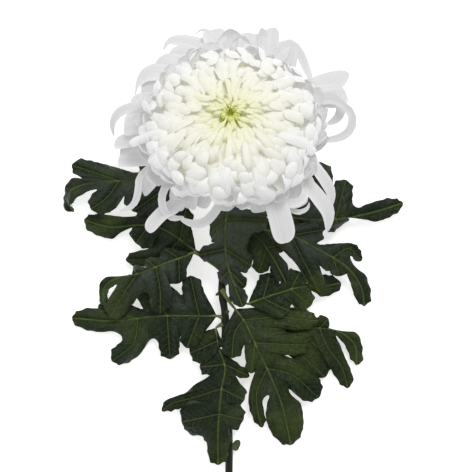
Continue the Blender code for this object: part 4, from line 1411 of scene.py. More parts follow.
LEAVES = (
    Leaf("leaf_bloom_left",
         ((228, 200, 17), (216, 197, 20), (204, 193, 23)),
         ((204, 193, 23), (170, 184, 26), (133, 181, 27), (97, 182, 24), (74, 188, 18),
          (65.5, 200, 12), (73, 212, 7)),
         (LobePair(0.30, Lobe((133, 211, 20), 18, 1.25), Lobe((150, 162, 22), 14, 0.95)),
          LobePair(0.50, Lobe((91, 209, 17), 13, 0.8, ((108, 197, 22),)),
                   Lobe((72, 165, 20), 10, 0.6, ((97, 173, 24),)))),
         9.5),
    Leaf("leaf_bloom_right",
         ((231, 206, 16), (244, 210, 18), (262, 213, 20)),
         ((262, 213, 20), (300, 218, 21), (335, 219, 17), (370, 213, 11), (403, 203, 5)),
         (LobePair(0.28, Lobe((320, 162, 22), 17, 1.05, ((316, 190, 22),)), Lobe((320, 235, 13), 14, 1.3)),
          LobePair(0.50, Lobe((346, 180, 15), 12, 0.6), Lobe((340, 227, 11), 13, 1.25))),
         9.8),
    Leaf("leaf_front_centre",
         ((228.5, 194, 19), (228, 200, 23)),
         ((228, 200, 23), (225, 240, 28), (229, 270, 27), (243, 307, 19)),
         (LobePair(0.22, Lobe((268, 220, 26), 12.5, 1.0), Lobe((210, 234, 18), 13, 0.95)),
          LobePair(0.45, Lobe((251, 266, 19), 12, 0.75), Lobe((199, 255, 25), 8, 0.9)),
          LobePair(0.64, Lobe((245, 287, 19), 7, 1.1), Lobe((220, 281, 15), 8, 1.0))),
         8.0),
    Leaf("leaf_under_bloom",
         ((231, 216, 11.5), (243, 225, 11.5)),
         ((243, 225, 11.5), (260, 240, 13.5), (273, 258, 14.5), (286, 282, 15)),
         (LobePair(0.22, Lobe((276, 226, 13), 11, 0.8), Lobe((243, 262, 12), 9, 0.85)),
          LobePair(0.45, Lobe((286, 244, 12.5), 8, 1.0), Lobe((259, 273, 12), 9, 0.9))),
         9.0),
    Leaf("leaf_right_middle",
         ((231, 226, 13), (246, 228, 18), (262, 229, 22)),
         ((262, 229, 22), (293, 236, 25), (320, 250, 24), (347, 267, 17), (361, 286, 9),
          (365, 306, 3)),
         (LobePair(0.26, Lobe((322, 230, 21), 11.5, 1.15), Lobe((321, 293, 13), 9.5, 1.1, ((309, 264, 19),))),
          LobePair(0.55, Lobe((362, 261, 12), 6, 0.7, ((350, 249, 17),)), Lobe((340, 276, 11), 8, 1.2))),
         9.5),
    Leaf("leaf_left_upper",
         ((221, 262, 11.5), (208, 256, 14), (196, 251, 15)),
         ((196, 251, 15), (163, 229, 17), (140, 225, 15), (110, 227, 10), (84, 220, 5)),
         (LobePair(0.22, Lobe((126, 260, 7), 9, 0.6, ((156, 255, 10),)), Lobe((186, 207, 16), 11, 0.8)),
          LobePair(0.42, Lobe((136, 243, 10), 14, 1.15), Lobe((147, 201, 14), 12, 0.8))),
         11.5, 0.9),
    Leaf("leaf_left_middle",
         ((220, 268, 12), (207, 260, 17), (194, 253, 20)),
         ((194, 253, 20), (165, 263, 23), (140, 273, 22), (117, 278, 18), (105, 286, 13),
          (102, 297, 10), (106, 307, 8)),
         (LobePair(0.20, Lobe((179, 283, 15), 11, 1.15), Lobe((165, 249, 20), 8, 0.9)),
          LobePair(0.33, Lobe((160, 313, 15), 12, 0.8, ((160, 290, 20),)), Lobe((146, 260, 20), 6, 0.9)),
          LobePair(0.46, Lobe((110, 318, 12), 11.5, 0.6, ((125, 294, 18),)), Lobe((133, 268, 19), 5, 1.1))),
         6.2, 0.9),
    Leaf("leaf_left_lower",
         ((223, 317.5, 10), (217, 316, 11)),
         ((217, 316, 11), (160, 316, 12), (115, 321, 9), (72, 318, 3)),
         (LobePair(0.14, Lobe((187, 348, 10), 10, 1.0), Lobe((190, 276, 9), 11, 1.3)),
          LobePair(0.34, Lobe((170, 359, 4), 11, 0.75), Lobe((143, 288, 8), 14, 1.3)),
          LobePair(0.53, Lobe((112, 361, 3), 11.5, 0.75, ((134, 343, 7),)), Lobe((98, 306, 3), 10, 0.95))),
         11.5, 0.9),
    Leaf("leaf_front_large",
         ((222, 290, 12.5), (228, 300, 15.5), (235, 309, 15.8)),
         ((235, 309, 15.8), (246, 324, 16.5), (258, 350, 15), (270, 375, 13), (282, 405, 9),
          (291, 445, 3)),
         (LobePair(0.10, Lobe((318, 321, 10), 11, 1.0, ((278, 318, 12),)),
                   Lobe((232, 358, 16), 11, 1.1, ((235, 334, 17),))),
          LobePair(0.26, Lobe((309, 345, 9), 11.5, 1.22), Lobe((251, 373, 12), 7, 1.0)),
          LobePair(0.42, Lobe((319, 398, 6), 15, 0.8, ((292, 373, 11),)),
                   Lobe((262, 427, 4), 7, 0.5, ((256, 388, 11), (257, 408, 8))))),
         18.5),
    Leaf("leaf_behind_large",
         ((228, 338, 8.5), (240, 338, 7)),
         ((252, 335, 6), (290, 331, 6), (318, 328, 7), (340, 332, 7.5), (355, 345, 5),
          (357, 365, 3)),
         (LobePair(0.34, Lobe((297, 313, 4), 8, 0.9), Lobe((325, 377, 3), 13, 1.1, ((308, 350, 6),))),
          LobePair(0.50, Lobe((328, 319, 7), 8, 1.15),
                   Lobe((348, 388, 2.5), 9, 0.3, ((326, 347, 7), (338, 362, 5.5), (344, 374, 4))))),
         8.5),
    Leaf("leaf_bottom",
         ((223, 324, 10.5), (216, 328, 10)),
         ((216, 328, 10), (219, 348, 11.5), (225, 368, 14), (221, 392, 17), (218, 430, 14),
          (218, 465, 7)),
         (LobePair(0.10, Lobe((224, 346, 12.6), 4, 0.8), Lobe((190, 353, 5), 15, 1.25)),
          LobePair(0.26, Lobe((249, 376, 10), 5.5, 0.95), Lobe((200, 367, 6), 9.5, 1.2)),
          LobePair(0.44, Lobe((244, 400, 8), 13, 1.2),
                   Lobe((162, 411, 4), 6.5, 1.15, ((196, 397, 10), (173, 403, 8)))),
          LobePair(0.62, Lobe((243, 420, 8), 14, 1.2), Lobe((182, 422, 5), 19, 1.05))),
         11.5),
    Leaf("leaf_right_lower",
         ((229, 299, 9.5), (238, 301, 11.5), (248, 304, 14.5)),
         ((248, 304, 14.5), (270, 296, 15.5), (300, 287, 13), (323, 286, 8.5), (341, 283, 5)),
         (LobePair(0.20, Lobe((270, 273, 9), 11, 0.95), Lobe((289, 311, 15), 12, 1.35)),
          LobePair(0.46, Lobe((300, 272, 9), 12, 1.05), Lobe((311, 305, 8), 12, 1.15))),
         10.5),
)


def through(rows: Array, knots: Sequence[float], shares: Array) -> Array:
    """Rows of the smooth curve between the second and the third of four rows.

    Args:
        rows: Four rows of values.
        knots: Their four places along the curve.
        shares: Shares of the way from the second to the third.

    Returns:
        One row for each share.
    """
    place = (knots[1] + (knots[2] - knots[1]) * shares).reshape(-1, *[1] * (rows.ndim - 1))

    def mix(low: Array, high: Array, a: int, b: int) -> Array:
        """The straight blend of two curves over the knots `a` to `b`."""
        return (low * (knots[b] - place) + high * (place - knots[a])) / (knots[b] - knots[a])

    first, second, third = (mix(rows[i], rows[i + 1], i, i + 1) for i in range(3))
    return mix(mix(first, second, 0, 2), mix(second, third, 1, 3), 1, 2)


@dataclass(frozen=True)
class LeafStyle:
    """How the blades are cut and moulded, alike for every leaf.

    Attributes:
        row_margin: Rows of a lobe: share along its vein, and share of its half width.
        end_margin: The same for the end lobe.
        columns: Number of steps from midrib to margin.
        margin_step: Distance along the margin between rows of the mesh.
        least_gap: Least distance between main rows that their spacing allows for.
        weld: Distance below which corners of the mesh are joined.
        vein_rise: Rise at the middle of a vein that is drawn by its tip alone.
        tooth: Height of the teeth.
        tooth_gap: Distance between teeth.
        tooth_drift: Distance over which their spacing drifts.
        tooth_fade: How far the teeth fade away from a lobe's tip.
        from_tip: Distances from a lobe's tip between which the teeth begin to drift, grow to their
            height, and fade.
        from_notch: Distances from a notch between which the teeth grow.
        valley: Depth and reach of the midrib's valley.
        vein_valley: Depth and reach of a vein's valley.
        puff: How far the blade swells between veins.
        swelling: Distances from a vein between which it does so.
        camber: How far a lobe's edges droop, and the distance from the vein at which they do so.
        ruffle: Height of the margin's slow waves.
        waves: Lengths of the slow waves, and of the quicker ones on them.
        thickness: Thickness of the blade.
        clearance: Least height of the blade's middle above the table.
    """

    row_margin: tuple[Pair, ...] = (
        (0.56, -1.0), (0.90, -0.74), (1.0, 0.0), (0.90, 0.74), (0.56, 1.0))
    end_margin: tuple[Pair, ...] = ((0.45, 1.0), (0.85, 0.74), (1.0, 0.0))
    columns: int = 14
    margin_step: float = 0.85 * MM
    least_gap: float = 0.8 * MM
    weld: float = 0.03 * MM
    vein_rise: float = 1.4 * MM
    tooth: float = 1.15 * MM
    tooth_gap: float = 6.0 * MM
    tooth_drift: float = 31 * MM
    tooth_fade: float = 0.8
    from_tip: tuple[Pair, Pair, Pair] = ((1 * MM, 5 * MM), (1 * MM, 4.5 * MM), (6 * MM, 17 * MM))
    from_notch: Pair = (1.5 * MM, 7 * MM)
    valley: Pair = (0.7 * MM, 1.3 * MM)
    vein_valley: Pair = (0.49 * MM, 1.1 * MM)
    puff: float = 0.9 * MM
    swelling: Pair = (0.8 * MM, 4.5 * MM)
    camber: Pair = (2.2 * MM, 8 * MM)
    ruffle: float = 0.9 * MM
    waves: Pair = (19 * MM, 8.3 * MM)
    thickness: float = 0.45 * MM
    clearance: float = 0.35 * MM


class LeafSheet:
    """The moulded surface of one leaf, as rows of points from its midrib to its margins."""

    def __init__(self, leaf: Leaf, style: LeafStyle, draw: random.Random) -> None:
        """Lays out the surface.

        Args:
            leaf: The leaf.
            style: How blades are cut and moulded.
            draw: Source of the random waves.
        """
        self.leaf, self.style = leaf, style
        start = DRAWING.seen(leaf.midrib[1]) - DRAWING.seen(leaf.midrib[0])
        self.left = np.array((-start[1], start[0], 0.0))
        self.midrib = Spine([DRAWING.seen(p) for p in leaf.midrib], self.left)
        columns = np.linspace(0.0, 1.0, style.columns + 1)
        self.columns = 1 - (1 - columns) ** 1.15
        places = [pair.place for pair in leaf.pairs]
        self.last = places[-1] + (1 - places[-1]) * 0.24
        self.borders = [0.0] + [(a + b) / 2 for a, b in zip(places, places[1:])] + [self.last]
        coarse = np.stack([self._coarse_rows(hand) for hand in (1, -1)])
        self._refine(coarse)
        self._cut_teeth()
        self._mould(draw)

    def _starts(self) -> Array:
        """Spaces the coarse rows out along the midrib.

        Returns:
            Where each leaves it, as a share of its length.
        """
        starts = []
        for low, high in zip(self.borders, self.borders[1:]):
            steps = len(self.style.row_margin) + 1
            starts += [low + (high - low) * step / steps for step in range(steps)]
        steps = len(self.style.end_margin)
        starts += [self.last + (1 - self.last) * step / steps for step in range(steps + 1)]
        return np.array(starts)

    def _vein(self, place: float, lobe: Lobe) -> Spine:
        """The line of a side lobe from the midrib to its tip.

        Args:
            place: Where it leaves the midrib, as a share of the midrib's length.
            lobe: The lobe.

        Returns:
            The line, whose side vector points to the leaf's end.
        """
        ends = self.midrib.points(np.array((place, min(1.0, place + 0.05))))
        tip = DRAWING.seen(lobe.tip)
        rise = np.array((0, 0, self.style.vein_rise))
        via = [DRAWING.seen(p) for p in lobe.via] or [(ends[0] + tip) / 2 + rise]
        return Spine([ends[0], *via, tip], ends[1] - ends[0])

    def _coarse_rows(self, hand: int) -> Array:
        """The main rows of one half, from midrib to margin.

        Args:
            hand: 1 for the left half, -1 for the right one.

        Returns:
            Places by row and column.
        """
        leaf, style = self.leaf, self.style
        lobes = [pair.left if hand > 0 else pair.right for pair in leaf.pairs]
        veins = [self._vein(pair.place, lobe) for pair, lobe in zip(leaf.pairs, lobes)]
        t = self.columns[:, None]
        starts = self.midrib.points(self._starts())

        def margin(index: int, u: float, v: float) -> Array:
            """A point of the edge of one lobe."""
            point, side, _ = veins[index].frames(np.array(u))
            return point + side * (v * lobes[index].width * DRAWING.unit)

        def end_margin(u: float, v: float) -> Array:
            """A point of the edge of the end lobe."""
            point, side, _ = self.midrib.frames(np.array(self.last + (1 - self.last) * u))
            return point + side * (v * hand * leaf.end_width * DRAWING.unit)

        rows = []
        before, share = self.midrib.points(np.array(0.0)), leaf.base_notch
        for index, (vein, lobe) in enumerate(zip(veins, lobes)):
            base = starts[len(rows)]
            notch = base + ((before + margin(index, *style.row_margin[0])) / 2 - base) * share
            rows.append(base * (1 - t) + notch * t)
            for u, v in style.row_margin:
                base, edge = starts[len(rows)], margin(index, u, v)
                bend = vein.points(u * self.columns)
                rows.append(bend + (base - bend[0]) * (1 - t) + (edge - bend[-1]) * t)
            before, share = margin(index, *style.row_margin[-1]), lobe.notch
        base = starts[len(rows)]
        notch = base + ((before + end_margin(*style.end_margin[0])) / 2 - base) * share
        rows.append(base * (1 - t) + notch * t)
        for u, v in style.end_margin:
            rows.append(starts[len(rows)] * (1 - t) + end_margin(u, v) * t)
        return np.array(rows)

    def _refine(self, coarse: Array) -> None:
        """Fills in fine rows between the coarse ones, alike on both halves.

        Args:
            coarse: Places by half, coarse row and column.
        """
        gaps = np.linalg.norm(np.diff(coarse[:, :, -1], axis=1), axis=-1)
        shared = np.maximum(gaps.mean(axis=0), self.style.least_gap) ** 0.5
        shared = np.concatenate(([shared[0]], shared, [shared[-1]]))
        knots = np.concatenate(([0.0], np.cumsum(shared)))
        before = 2 * coarse[:, :1] - coarse[:, 1:2]
        rows = np.concatenate((before, coarse, coarse[::-1, -2:-1]), axis=1)
        starts = self._starts()
        starts = np.concatenate(([-starts[1]], starts, [2 - starts[-2]]))
        fine, fine_starts, self.main_rows = [], [], [0]
        for k in range(coarse.shape[1] - 1):
            steps = int(np.clip(np.ceil(gaps[:, k].max() / self.style.margin_step), 3, 26))
            shares = np.arange(steps) / steps
            four = slice(k, k + 4)
            fine.append(through(np.moveaxis(rows[:, four], 1, 0), knots[four], shares))
            fine_starts.append(through(starts[four], knots[four], shares))
            self.main_rows.append(self.main_rows[-1] + steps)
        fine.append(np.moveaxis(coarse[:, -1:], 1, 0))
        fine_starts.append(np.array([1.0]))
        per_lobe = len(self.style.row_margin) + 1
        self.vein_rows, self.notch_rows = self.main_rows[3:-4:per_lobe], self.main_rows[::per_lobe]
        self.starts = np.maximum.accumulate(np.clip(np.concatenate(fine_starts), 0.0, 1.0))
        self.places = np.moveaxis(np.concatenate(fine), 0, 1)
        base, _, self.normals = self.midrib.frames(self.starts)
        off = (base - self.places[:, :, 0])[:, :, None]
        self.places += off * (1 - self.columns)[:, None]

    def _cut_teeth(self) -> None:
        """Draws the margins out into teeth, less in the notches between lobes."""
        style = self.style
        edge = self.places[:, :, -1]
        run = np.linalg.norm(np.diff(edge, axis=1), axis=-1)
        run = np.concatenate((np.zeros((2, 1)), np.cumsum(run, axis=1)), axis=1)
        self.edge_run = run
        tips = [*self.vein_rows, self.main_rows[-1]]
        outward = np.cross(np.gradient(edge, axis=1), self.normals[None])
        inwards = np.sum(outward * (edge - self.places[:, :, -3]), axis=-1, keepdims=True) < 0
        outward = unit(np.where(inwards, -outward, outward))
        drifting, growing, fading = style.from_tip
        for half in range(2):
            from_tip = np.min(np.abs(run[half][:, None] - run[half][tips][None]), axis=1)
            from_notch = np.min(np.abs(run[half][:, None] - run[half][self.notch_rows][None]), axis=1)
            drift = 0.22 * np.sin(run[half] * (2 * math.pi / style.tooth_drift) + half)
            drift *= ease(from_tip, *drifting)
            saw = np.abs(2 * ((from_tip / style.tooth_gap + drift) % 1.0) - 1)
            near_tip = 1 - style.tooth_fade * ease(from_tip, *fading)
            near_tip *= 0.3 + 0.7 * ease(from_tip, *growing)
            height = (saw ** 1.6 - 0.35) * style.tooth * near_tip * ease(from_notch, *style.from_notch)
            shift = outward[half] * height[:, None]
            self.places[half] += shift[:, None] * ease(self.columns, 0.62, 1.0)[None, :, None]

    def _gap_to(self, line: Array) -> tuple[Array, Array]:
        """Measures from every place of the surface to a line.

        Args:
            line: Points of the line.

        Returns:
            The distance to the nearest point, and how far along the line that point lies.
        """
        gaps = np.linalg.norm(self.places[..., None, :] - line, axis=-1)
        nearest = np.argmin(gaps, axis=-1)
        return np.take_along_axis(gaps, nearest[..., None], -1)[..., 0], distances(line)[nearest]

    def _mould(self, draw: random.Random) -> None:
        """Sinks the veins, swells the blade between them and waves its margin.

        Args:
            draw: Source of the random waves.
        """
        style = self.style
        share = np.linspace(0.0, 1.0, 120)
        self.rib_gap, along_rib = self._gap_to(self.midrib.points(share))
        self.vein_gap = np.full_like(self.rib_gap, 1.0)
        self.vein_run = along_rib
        for row in self.vein_rows:
            for half in range(2):
                line = self.places[half, row]
                fine = np.stack([np.interp(share, self.columns, values) for values in line.T], axis=-1)
                gap, run = self._gap_to(fine)
                nearer = gap < self.vein_gap
                self.vein_run = np.where(nearer & (gap < self.rib_gap), run, self.vein_run)
                self.vein_gap = np.minimum(self.vein_gap, gap)
        gap = np.minimum(self.vein_gap, self.rib_gap)
        height = style.puff * ease(gap, *style.swelling)
        for (depth, reach), away in ((style.valley, self.rib_gap), (style.vein_valley, self.vein_gap)):
            height -= depth * np.exp(-(away / reach) ** 2)
        t = self.columns[None, None]
        droop, reach = style.camber
        height -= droop * np.minimum((gap / reach) ** 2, 1.6) * t
        wave, quick = (np.sin(self.edge_run * (2 * math.pi / length) + draw.uniform(0, 6))
                       for length in style.waves)
        wave += 0.6 * quick
        height += style.ruffle * wave[..., None] * t ** 2
        close = 1 - ease(self.starts, 0.95, 1.0)
        height *= close[None, :, None] * 0.85 + 0.15
        self.places = self.places + self.normals[None, :, None] * height[..., None]
        low = style.clearance
        z = self.places[..., 2]
        self.places[..., 2] = np.where(z < 2 * low, low + low * np.exp(np.minimum(0, z / low - 2)), z)

    def blade(self, materials: Sequence[Material]) -> None:
        """Builds the blade as a piece, its two sides in two finishes.

        Args:
            materials: Finishes of the upper side and of the underside.
        """
        count, wide = self.places.shape[1], len(self.columns)
        piece = Piece(f"{self.leaf.name}_blade")
        bmesh.ops.create_grid(piece.bm, x_segments=count - 1, y_segments=2 * wide - 2, size=1.0)
        layers = [(piece.bm.verts.layers.float.new(name), getattr(self, name))
                  for name in ("rib_gap", "vein_gap", "vein_run")]
        for vertex in piece.bm.verts:
            row = round((vertex.co.x + 1) / 2 * (count - 1))
            column = round((vertex.co.y + 1) * (wide - 1)) - (wide - 1)
            spot = (0 if column >= 0 else 1, row, abs(column))
            vertex.co = self.places[spot]
            for layer, values in layers:
                vertex[layer] = values[spot]
        bmesh.ops.remove_doubles(piece.bm, verts=piece.bm.verts, dist=self.style.weld)
        item = piece.finish(materials, [self.leaf.name], "leaf_green", 80)
        shell = item.modifiers.new("thickness", "SOLIDIFY")
        shell.thickness = self.style.thickness
        shell.offset = 0.0
        shell.use_even_offset = False
        shell.material_offset = shell.material_offset_rim = 1


@dataclass
class Leaves:
    """The lobed leaves, each a blade with a rib piece that holds its stalk, midrib and veins.

    Attributes:
        leaves: The leaves.
        style: How their blades are cut and moulded.
        petiole: Radius of a stalk where it leaves the stem.
        rib: Radius of the midrib where the blade starts.
        vein: Radius of a lobe's vein where it leaves the midrib.
        fine: Radius at which the midrib and a vein end.
        flare: Distance over which a stalk narrows down from the stem.
        rib_skin: Rings along a stalk and its midrib, and corners of each.
        vein_skin: The same for a vein.
        seed: Start of the random draws.
    """

    leaves: tuple[Leaf, ...] = LEAVES
    style: LeafStyle = LeafStyle()
    petiole: float = 1.45 * MM
    rib: float = 0.64 * MM
    vein: float = 0.24 * MM
    fine: Pair = (0.12 * MM, 0.06 * MM)
    flare: float = 2.5 * MM
    rib_skin: tuple[int, int] = (60, 10)
    vein_skin: tuple[int, int] = (14, 6)
    seed: int = 61

    def _ribs(self, sheet: LeafSheet, finish: Material) -> None:
        """Builds the stalk, midrib and veins of one leaf as a piece.

        Args:
            sheet: The leaf's moulded surface.
            finish: Their finish.
        """
        piece = Piece(f"{sheet.leaf.name}_ribs")
        stalk = [DRAWING.seen(p) for p in sheet.leaf.petiole]
        line = sheet.places[0, :, 0]
        picks = np.linspace(0, len(line) - 1, 16).astype(int)[1:]
        spine = Spine([*stalk, *line[picks]], sheet.left)
        reach = distances(np.array(stalk))[-1] / spine.length
        u = np.linspace(0.0, 1.0, self.rib_skin[0])
        on_blade = np.clip((u - reach) / (1 - reach), 0, 1)
        start = self.rib * 1.1
        radius = np.where(u < reach, self.petiole + (start - self.petiole) * u / reach,
                          start * (1 - on_blade) ** 0.9 + self.fine[0])
        radius = radius * (1 + 0.25 * np.exp(-(u * spine.length / self.flare) ** 2))
        sink = 0.62 * ease(on_blade, 0.0, 0.08)
        piece.tube(Skin(*self.rib_skin), spine, u, radius[:, None], sink[:, None])
        skin, u = Skin(*self.vein_skin), np.linspace(0.0, 0.95, self.vein_skin[0])
        radius = self.vein * (1 - u) ** 0.8 + self.fine[1]
        for row in sheet.vein_rows:
            for vein in sheet.places[:, row]:
                spine = Spine(list(vein[::2]), np.cross(vein[2] - vein[0], -sheet.normals[0]))
                piece.tube(skin, spine, u, radius[:, None], 0.7)
        piece.finish([finish], [sheet.leaf.name], "leaf_green")

    def build(self, blade: Sequence[Material], rib: Material) -> None:
        """Builds every leaf.

        Args:
            blade: Finishes of a blade's upper side and underside.
            rib: Finish of the stalks, midribs and veins.
        """
        for number, leaf in enumerate(self.leaves):
            sheet = LeafSheet(leaf, self.style, random.Random(self.seed + number))
            sheet.blade(blade)
            self._ribs(sheet, rib)


@dataclass
class Stem:
    """The ribbed stem with swollen nodes, a slanting cut, scars of side buds and a leafy tuft.

    Attributes:
        line: Drawn points of the stem from its cut end up to the neck.
        radius: Radius near the cut end.
        cut_y: Where the cut meets the table side of the stem.
        cut_slant: Slant of the cut from the vertical.
        bark: Width of the green rim round the pith of the cut.
        neck_depth: Depth below the bloom's centre at which the stem ends inside the cup.
        ribs: Number of ribs round it.
        rib_height: Height of the ribs as a share of the radius.
        flare: How much wider the stem is where it meets the cup.
        neck: Share of the stem's length that the flare takes.
        nodes: Drawn y at which leaves join the stem.
        swelling: How far a node stands out, and its reach along the stem.
        scars: Drawn place, length in millimetres and lean in degrees of each bud scar.
        scar_radii: Half widths of a scar across and along the stem.
        tuft_root: Drawn points that the tuft's small leaves share.
        tuft_tips: Drawn tips of the tuft's small leaves.
        tuft_stations: Shares of the length of a small leaf at which its skin has a ring.
        stations: Number of rings along the stem.
        ring: Corners of each ring.
    """

    line: tuple[Drawn, ...] = (
        (228.5, 575, 2.2), (228.7, 520, 3.2), (229, 470, 4.6), (229, 440, 5.6), (227, 385, 7.4),
        (225.5, 340, 9.0), (225, 315, 10.0), (222, 290, 11.0), (223, 262, 11.4), (226, 235, 11.8),
        (228.5, 208, 13.4), (230.2, 184, 18.4))
    radius: float = 2.3 * MM
    cut_y: float = -167 * MM
    cut_slant: float = math.radians(38)
    bark: float = 0.45 * MM
    neck_depth: float = 11.5 * MM
    ribs: int = 7
    rib_height: float = 0.055
    flare: float = 1.15 * MM
    neck: float = 0.06
    nodes: tuple[float, ...] = (200, 216, 226, 262, 268, 290, 299, 318, 324, 338)
    swelling: Pair = (0.28 * MM, 2.6 * MM)
    scars: tuple[tuple[Drawn, float, float], ...] = (
        ((226.5, 313, 11.5), 3.4, 25), ((219.5, 293, 11.0), 3.0, 75), ((229, 354, 9.5), 2.8, -50))
    scar_radii: Pair = (1.35 * MM, 1.1 * MM)
    tuft_root: tuple[Drawn, ...] = ((230, 446, 6.0), (234, 446, 6.0))
    tuft_tips: tuple[Drawn, ...] = ((240, 441, 4.5), (238, 450, 5.5))
    tuft_stations: tuple[float, ...] = (0.0, 0.25, 0.45, 0.62, 0.76, 0.88, 0.96, 1.0)
    stations: int = 150
    ring: int = 28

    def spine(self, frame: BloomFrame) -> Spine:
        """The line of the stem from its cut end up into the cup."""
        top = frame.in_model(0, -self.neck_depth, 0)
        return Spine([*[DRAWING.seen(p) for p in self.line], top], (1, 0, 0))

    def _radii(self, spine: Spine, u: Array) -> Array:
        """Radius along the stem, with a swelling at each node and a flare below the cup.

        Args:
            spine: The stem's line.
            u: Shares of its length.

        Returns:
            One radius for each share.
        """
        flare = np.maximum(0, (u - 1 + self.neck) / self.neck) ** 2
        radius = self.radius * (1 - 0.10 * u) + self.flare * flare
        y = spine.points(u)[:, 1]
        for drawn in self.nodes:
            node = DRAWING.seen((228, drawn, 10))[1]
            radius = radius + self.swelling[0] * np.exp(-((y - node) / self.swelling[1]) ** 2)
        return radius

    def build(self, frame: BloomFrame, green: Material, cut: Material, fresh: Material) -> None:
        """Builds the stem with its scars, cut and tuft.

        Args:
            frame: Where the bloom stands.
            green: Finish of the skin.
            cut: Finish of the pith.
            fresh: Finish of the scars and the tuft.
        """
        piece = Piece("stem_ribbed")
        spine, skin = self.spine(frame), Skin(self.stations, self.ring)
        u = np.linspace(0.0, 1.0, self.stations)
        drift = 0.35 * np.sin(u * 9)[:, None]
        rise = 1 + self.rib_height * np.cos(self.ribs * (skin.turns[None] + drift))
        piece.tube(skin, spine, u, self._radii(spine, u)[:, None] * rise, ribs=self.ribs)
        layers = [(piece.bm.verts.layers.float.new(key), key) for key in list(piece.values)]
        for layer, key in layers:
            for vertex, value in zip(piece.bm.verts, np.concatenate(piece.values.pop(key))):
                vertex[layer] = value
        self._cut_end(piece.bm, spine)
        piece.finish([green, cut], ["stem"], "stem_green")
        self._scars(fresh)
        self._tuft(fresh)

    def _cut_end(self, bm: bmesh.types.BMesh, spine: Spine) -> None:
        """Cuts the end on the slant and insets the pith.

        Args:
            bm: The stem's mesh.
            spine: The stem's line.
        """
        end = Vector((spine.line[0][0], self.cut_y, 0))
        out = Vector((0, -math.cos(self.cut_slant), math.sin(self.cut_slant)))
        cut = bmesh.ops.bisect_plane(bm, geom=[*bm.verts, *bm.edges, *bm.faces], dist=WELD, plane_co=end,
                                     plane_no=out, clear_outer=True)
        rim = [e for e in cut["geom_cut"] if isinstance(e, bmesh.types.BMEdge)]
        made = bmesh.ops.contextual_create(bm, geom=rim)["faces"]
        inner = bmesh.ops.inset_region(bm, faces=made, thickness=self.bark, depth=0.0)["faces"]
        for face in [*made, *inner]:
            face.material_index = 1
        bmesh.ops.recalc_face_normals(bm, faces=bm.faces)

    def _scars(self, finish: Material) -> None:
        """Builds the small scars left where side buds were taken off.

        Args:
            finish: Their finish.
        """
        piece = Piece("bud_scars")
        for drawn, length, lean in self.scars:
            made = bmesh.ops.create_icosphere(piece.bm, subdivisions=3, radius=1.0)
            place = Matrix.Translation(DRAWING.seen(drawn)) @ Matrix.Rotation(
                math.radians(lean), 4, "Y") @ Matrix.Rotation(math.radians(-30), 4, "X")
            shape = Matrix.Diagonal((*self.scar_radii, length * MM, 1.0))
            for vertex in made["verts"]:
                vertex.co.x *= 1 + 0.12 * math.cos(5 * math.atan2(vertex.co.y, vertex.co.x))
                vertex.co.z -= 0.35 * max(0.0, vertex.co.z - 0.75)
            bmesh.ops.transform(piece.bm, matrix=place @ shape, verts=made["verts"])
        middle = np.full(len(piece.bm.verts), 0.5)
        piece.values = {"along": [middle], "across": [middle]}
        piece.finish([finish], ["stem"], "stem_green")

    def _tuft(self, finish: Material) -> None:
        """Builds the tuft of small leaves low on the stem.

        Args:
            finish: Its finish.
        """
        piece = Piece("stem_tuft")
        stations, skin = np.array(self.tuft_stations), Skin(len(self.tuft_stations), 8)
        for number, tip in enumerate(self.tuft_tips):
            points = [DRAWING.seen(p) for p in (*self.tuft_root, tip)]
            cut = PetalCut(2.5 * MM, 0.5, 0.1, thickness=0.5 * MM, ripple=0.4 * MM, phase=2.0 * number,
                           widest=0.6)
            cut.pose(piece, skin, Spine(points, (0, 1, 0)), stations, 0.5)
        piece.finish([finish], ["stem"], "stem_green")


@dataclass
class Hairs:
    """Short soft hairs on the stem.

    Attributes:
        count: Number of hairs.
        length: Length of a hair.
        root: Radius of a hair at its root.
        seed: Start of the random draws.
    """

    count: int = 900
    length: float = 0.9 * MM
    root: float = 0.05 * MM
    seed: int = 83

    def build(self, stem: Stem, frame: BloomFrame, finish: Material) -> None:
        """Sets the hairs on the stem.

        Args:
            stem: The stem.
            frame: Where the bloom stands.
            finish: Finish of the hairs.
        """
        draw = random.Random(self.seed)
        piece, skin, spine = Piece("stem_hairs"), Skin(3, 3), stem.spine(frame)
        turns = skin.turns[None, :, None]
        share = np.array((0.0, 0.6, 1.0))
        wide = (self.root * (1 - 0.85 * share))[:, None, None]
        for _ in range(self.count):
            point, side, normal = spine.frames(np.array(draw.uniform(0.02, 0.97)))
            turn = draw.uniform(0, 2 * math.pi)
            out = side * math.cos(turn) + normal * math.sin(turn)
            along = unit(np.cross(side, normal)) * draw.uniform(-0.5, 0.8)
            direction = unit(out + along)
            first = unit(np.cross(direction, out + np.array((0.1, 0.2, 0.3))))
            second = np.cross(direction, first)
            reach = self.length * draw.uniform(0.6, 1.2)
            centre = point + out * stem.radius * 0.84 + direction * (share * reach)[:, None]
            piece.sweep(skin, centre[:, None] + wide * (first * np.cos(turns) + second * np.sin(turns)))
        piece.finish([finish], ["stem"], "stem_green")


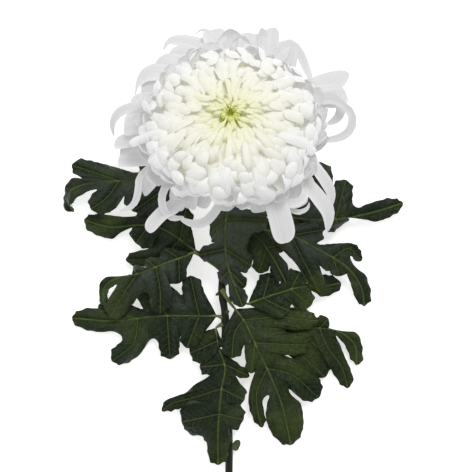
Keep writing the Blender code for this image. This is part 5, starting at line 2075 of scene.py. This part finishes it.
@dataclass
class Studio:
    """The pale floor, the soft lights and the camera straight above.

    Attributes:
        floor_size: Side of the floor.
        floor_level: Height of the floor, a hair below the table plane so that nothing dips into it.
        lights: Name, place, side and power in watts of each square soft light.
        aim: The point that the lights face.
        sky: Strength of the even light from all round.
        lens: Focal length of the camera in millimetres.
        sensor: Width of its sensor in millimetres.
    """

    floor_size: float = 8.0
    floor_level: float = -0.4 * MM
    lights: tuple[tuple[str, Drawn, float, float], ...] = (
        ("key", (0.3, 0.78, 1.42), 0.6, 13.5), ("fill", (-0.75, -0.18, 1.25), 1.2, 4.1))
    aim: Drawn = (0, 0, 0.03)
    sky: float = 0.42
    lens: float = 200.0
    sensor: float = 36.0

    def _lay_floor(self, finish: Material) -> None:
        """Lays the floor.

        Args:
            finish: Its finish.
        """
        bm = bmesh.new()
        bmesh.ops.create_grid(bm, x_segments=4, y_segments=4, size=self.floor_size / 2)
        bmesh.ops.translate(bm, vec=(0, 0, self.floor_level), verts=bm.verts)
        mesh = bpy.data.meshes.new("floor")
        bm.to_mesh(mesh)
        bm.free()
        mesh.materials.append(finish)
        add_object("floor", mesh)

    def build(self, floor: Material) -> None:
        """Sets up the floor, the lights, the pale surround and the camera.

        Args:
            floor: Finish of the floor.
        """
        self._lay_floor(floor)
        for name, place, size, power in self.lights:
            lamp = bpy.data.lights.new(name, "AREA")
            lamp.shape, lamp.size, lamp.energy = "SQUARE", size, power
            item = add_object(name, lamp)
            item.location = place
            item.rotation_euler = (Vector(self.aim) - Vector(place)).to_track_quat("-Z", "Y").to_euler()
        scene = bpy.context.scene
        scene.world = bpy.data.worlds.new("surround")
        scene.world.use_nodes = True
        sockets = scene.world.node_tree.nodes["Background"].inputs
        sockets["Color"].default_value = (1, 1, 1, 1)
        sockets["Strength"].default_value = self.sky
        scene.view_settings.view_transform = "Standard"
        camera = bpy.data.cameras.new("camera")
        camera.lens, camera.sensor_width = self.lens, self.sensor
        scene.camera = add_object("camera", camera)
        scene.camera.location = DRAWING.eye_place()


def main() -> None:
    """Builds the flower piece by piece, and the studio round it."""
    logging.basicConfig(level=logging.INFO, format="%(name)s: %(message)s")
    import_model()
    frame = BloomFrame()
    petal = PetalFinish().material()
    for layer in (BloomCore, DomePetals, LongDomePetals, SpreadingPetals, OuterPetals):
        layer(frame).build(petal)
    Eye(frame).build(EyeFinish().material())
    Cup(frame).build(BRACT.material())
    Leaves().build((LEAF_UPPER.material(), LEAF_UNDER.material()), RIB.material())
    stem = Stem()
    stem.build(frame, STEM_SKIN.material(), PITH.material(), SIDE_GROWTH.material())
    Hairs().build(stem, frame, HAIR.material())
    Studio().build(FLOOR.material())


if __name__ == "__main__":
    main()
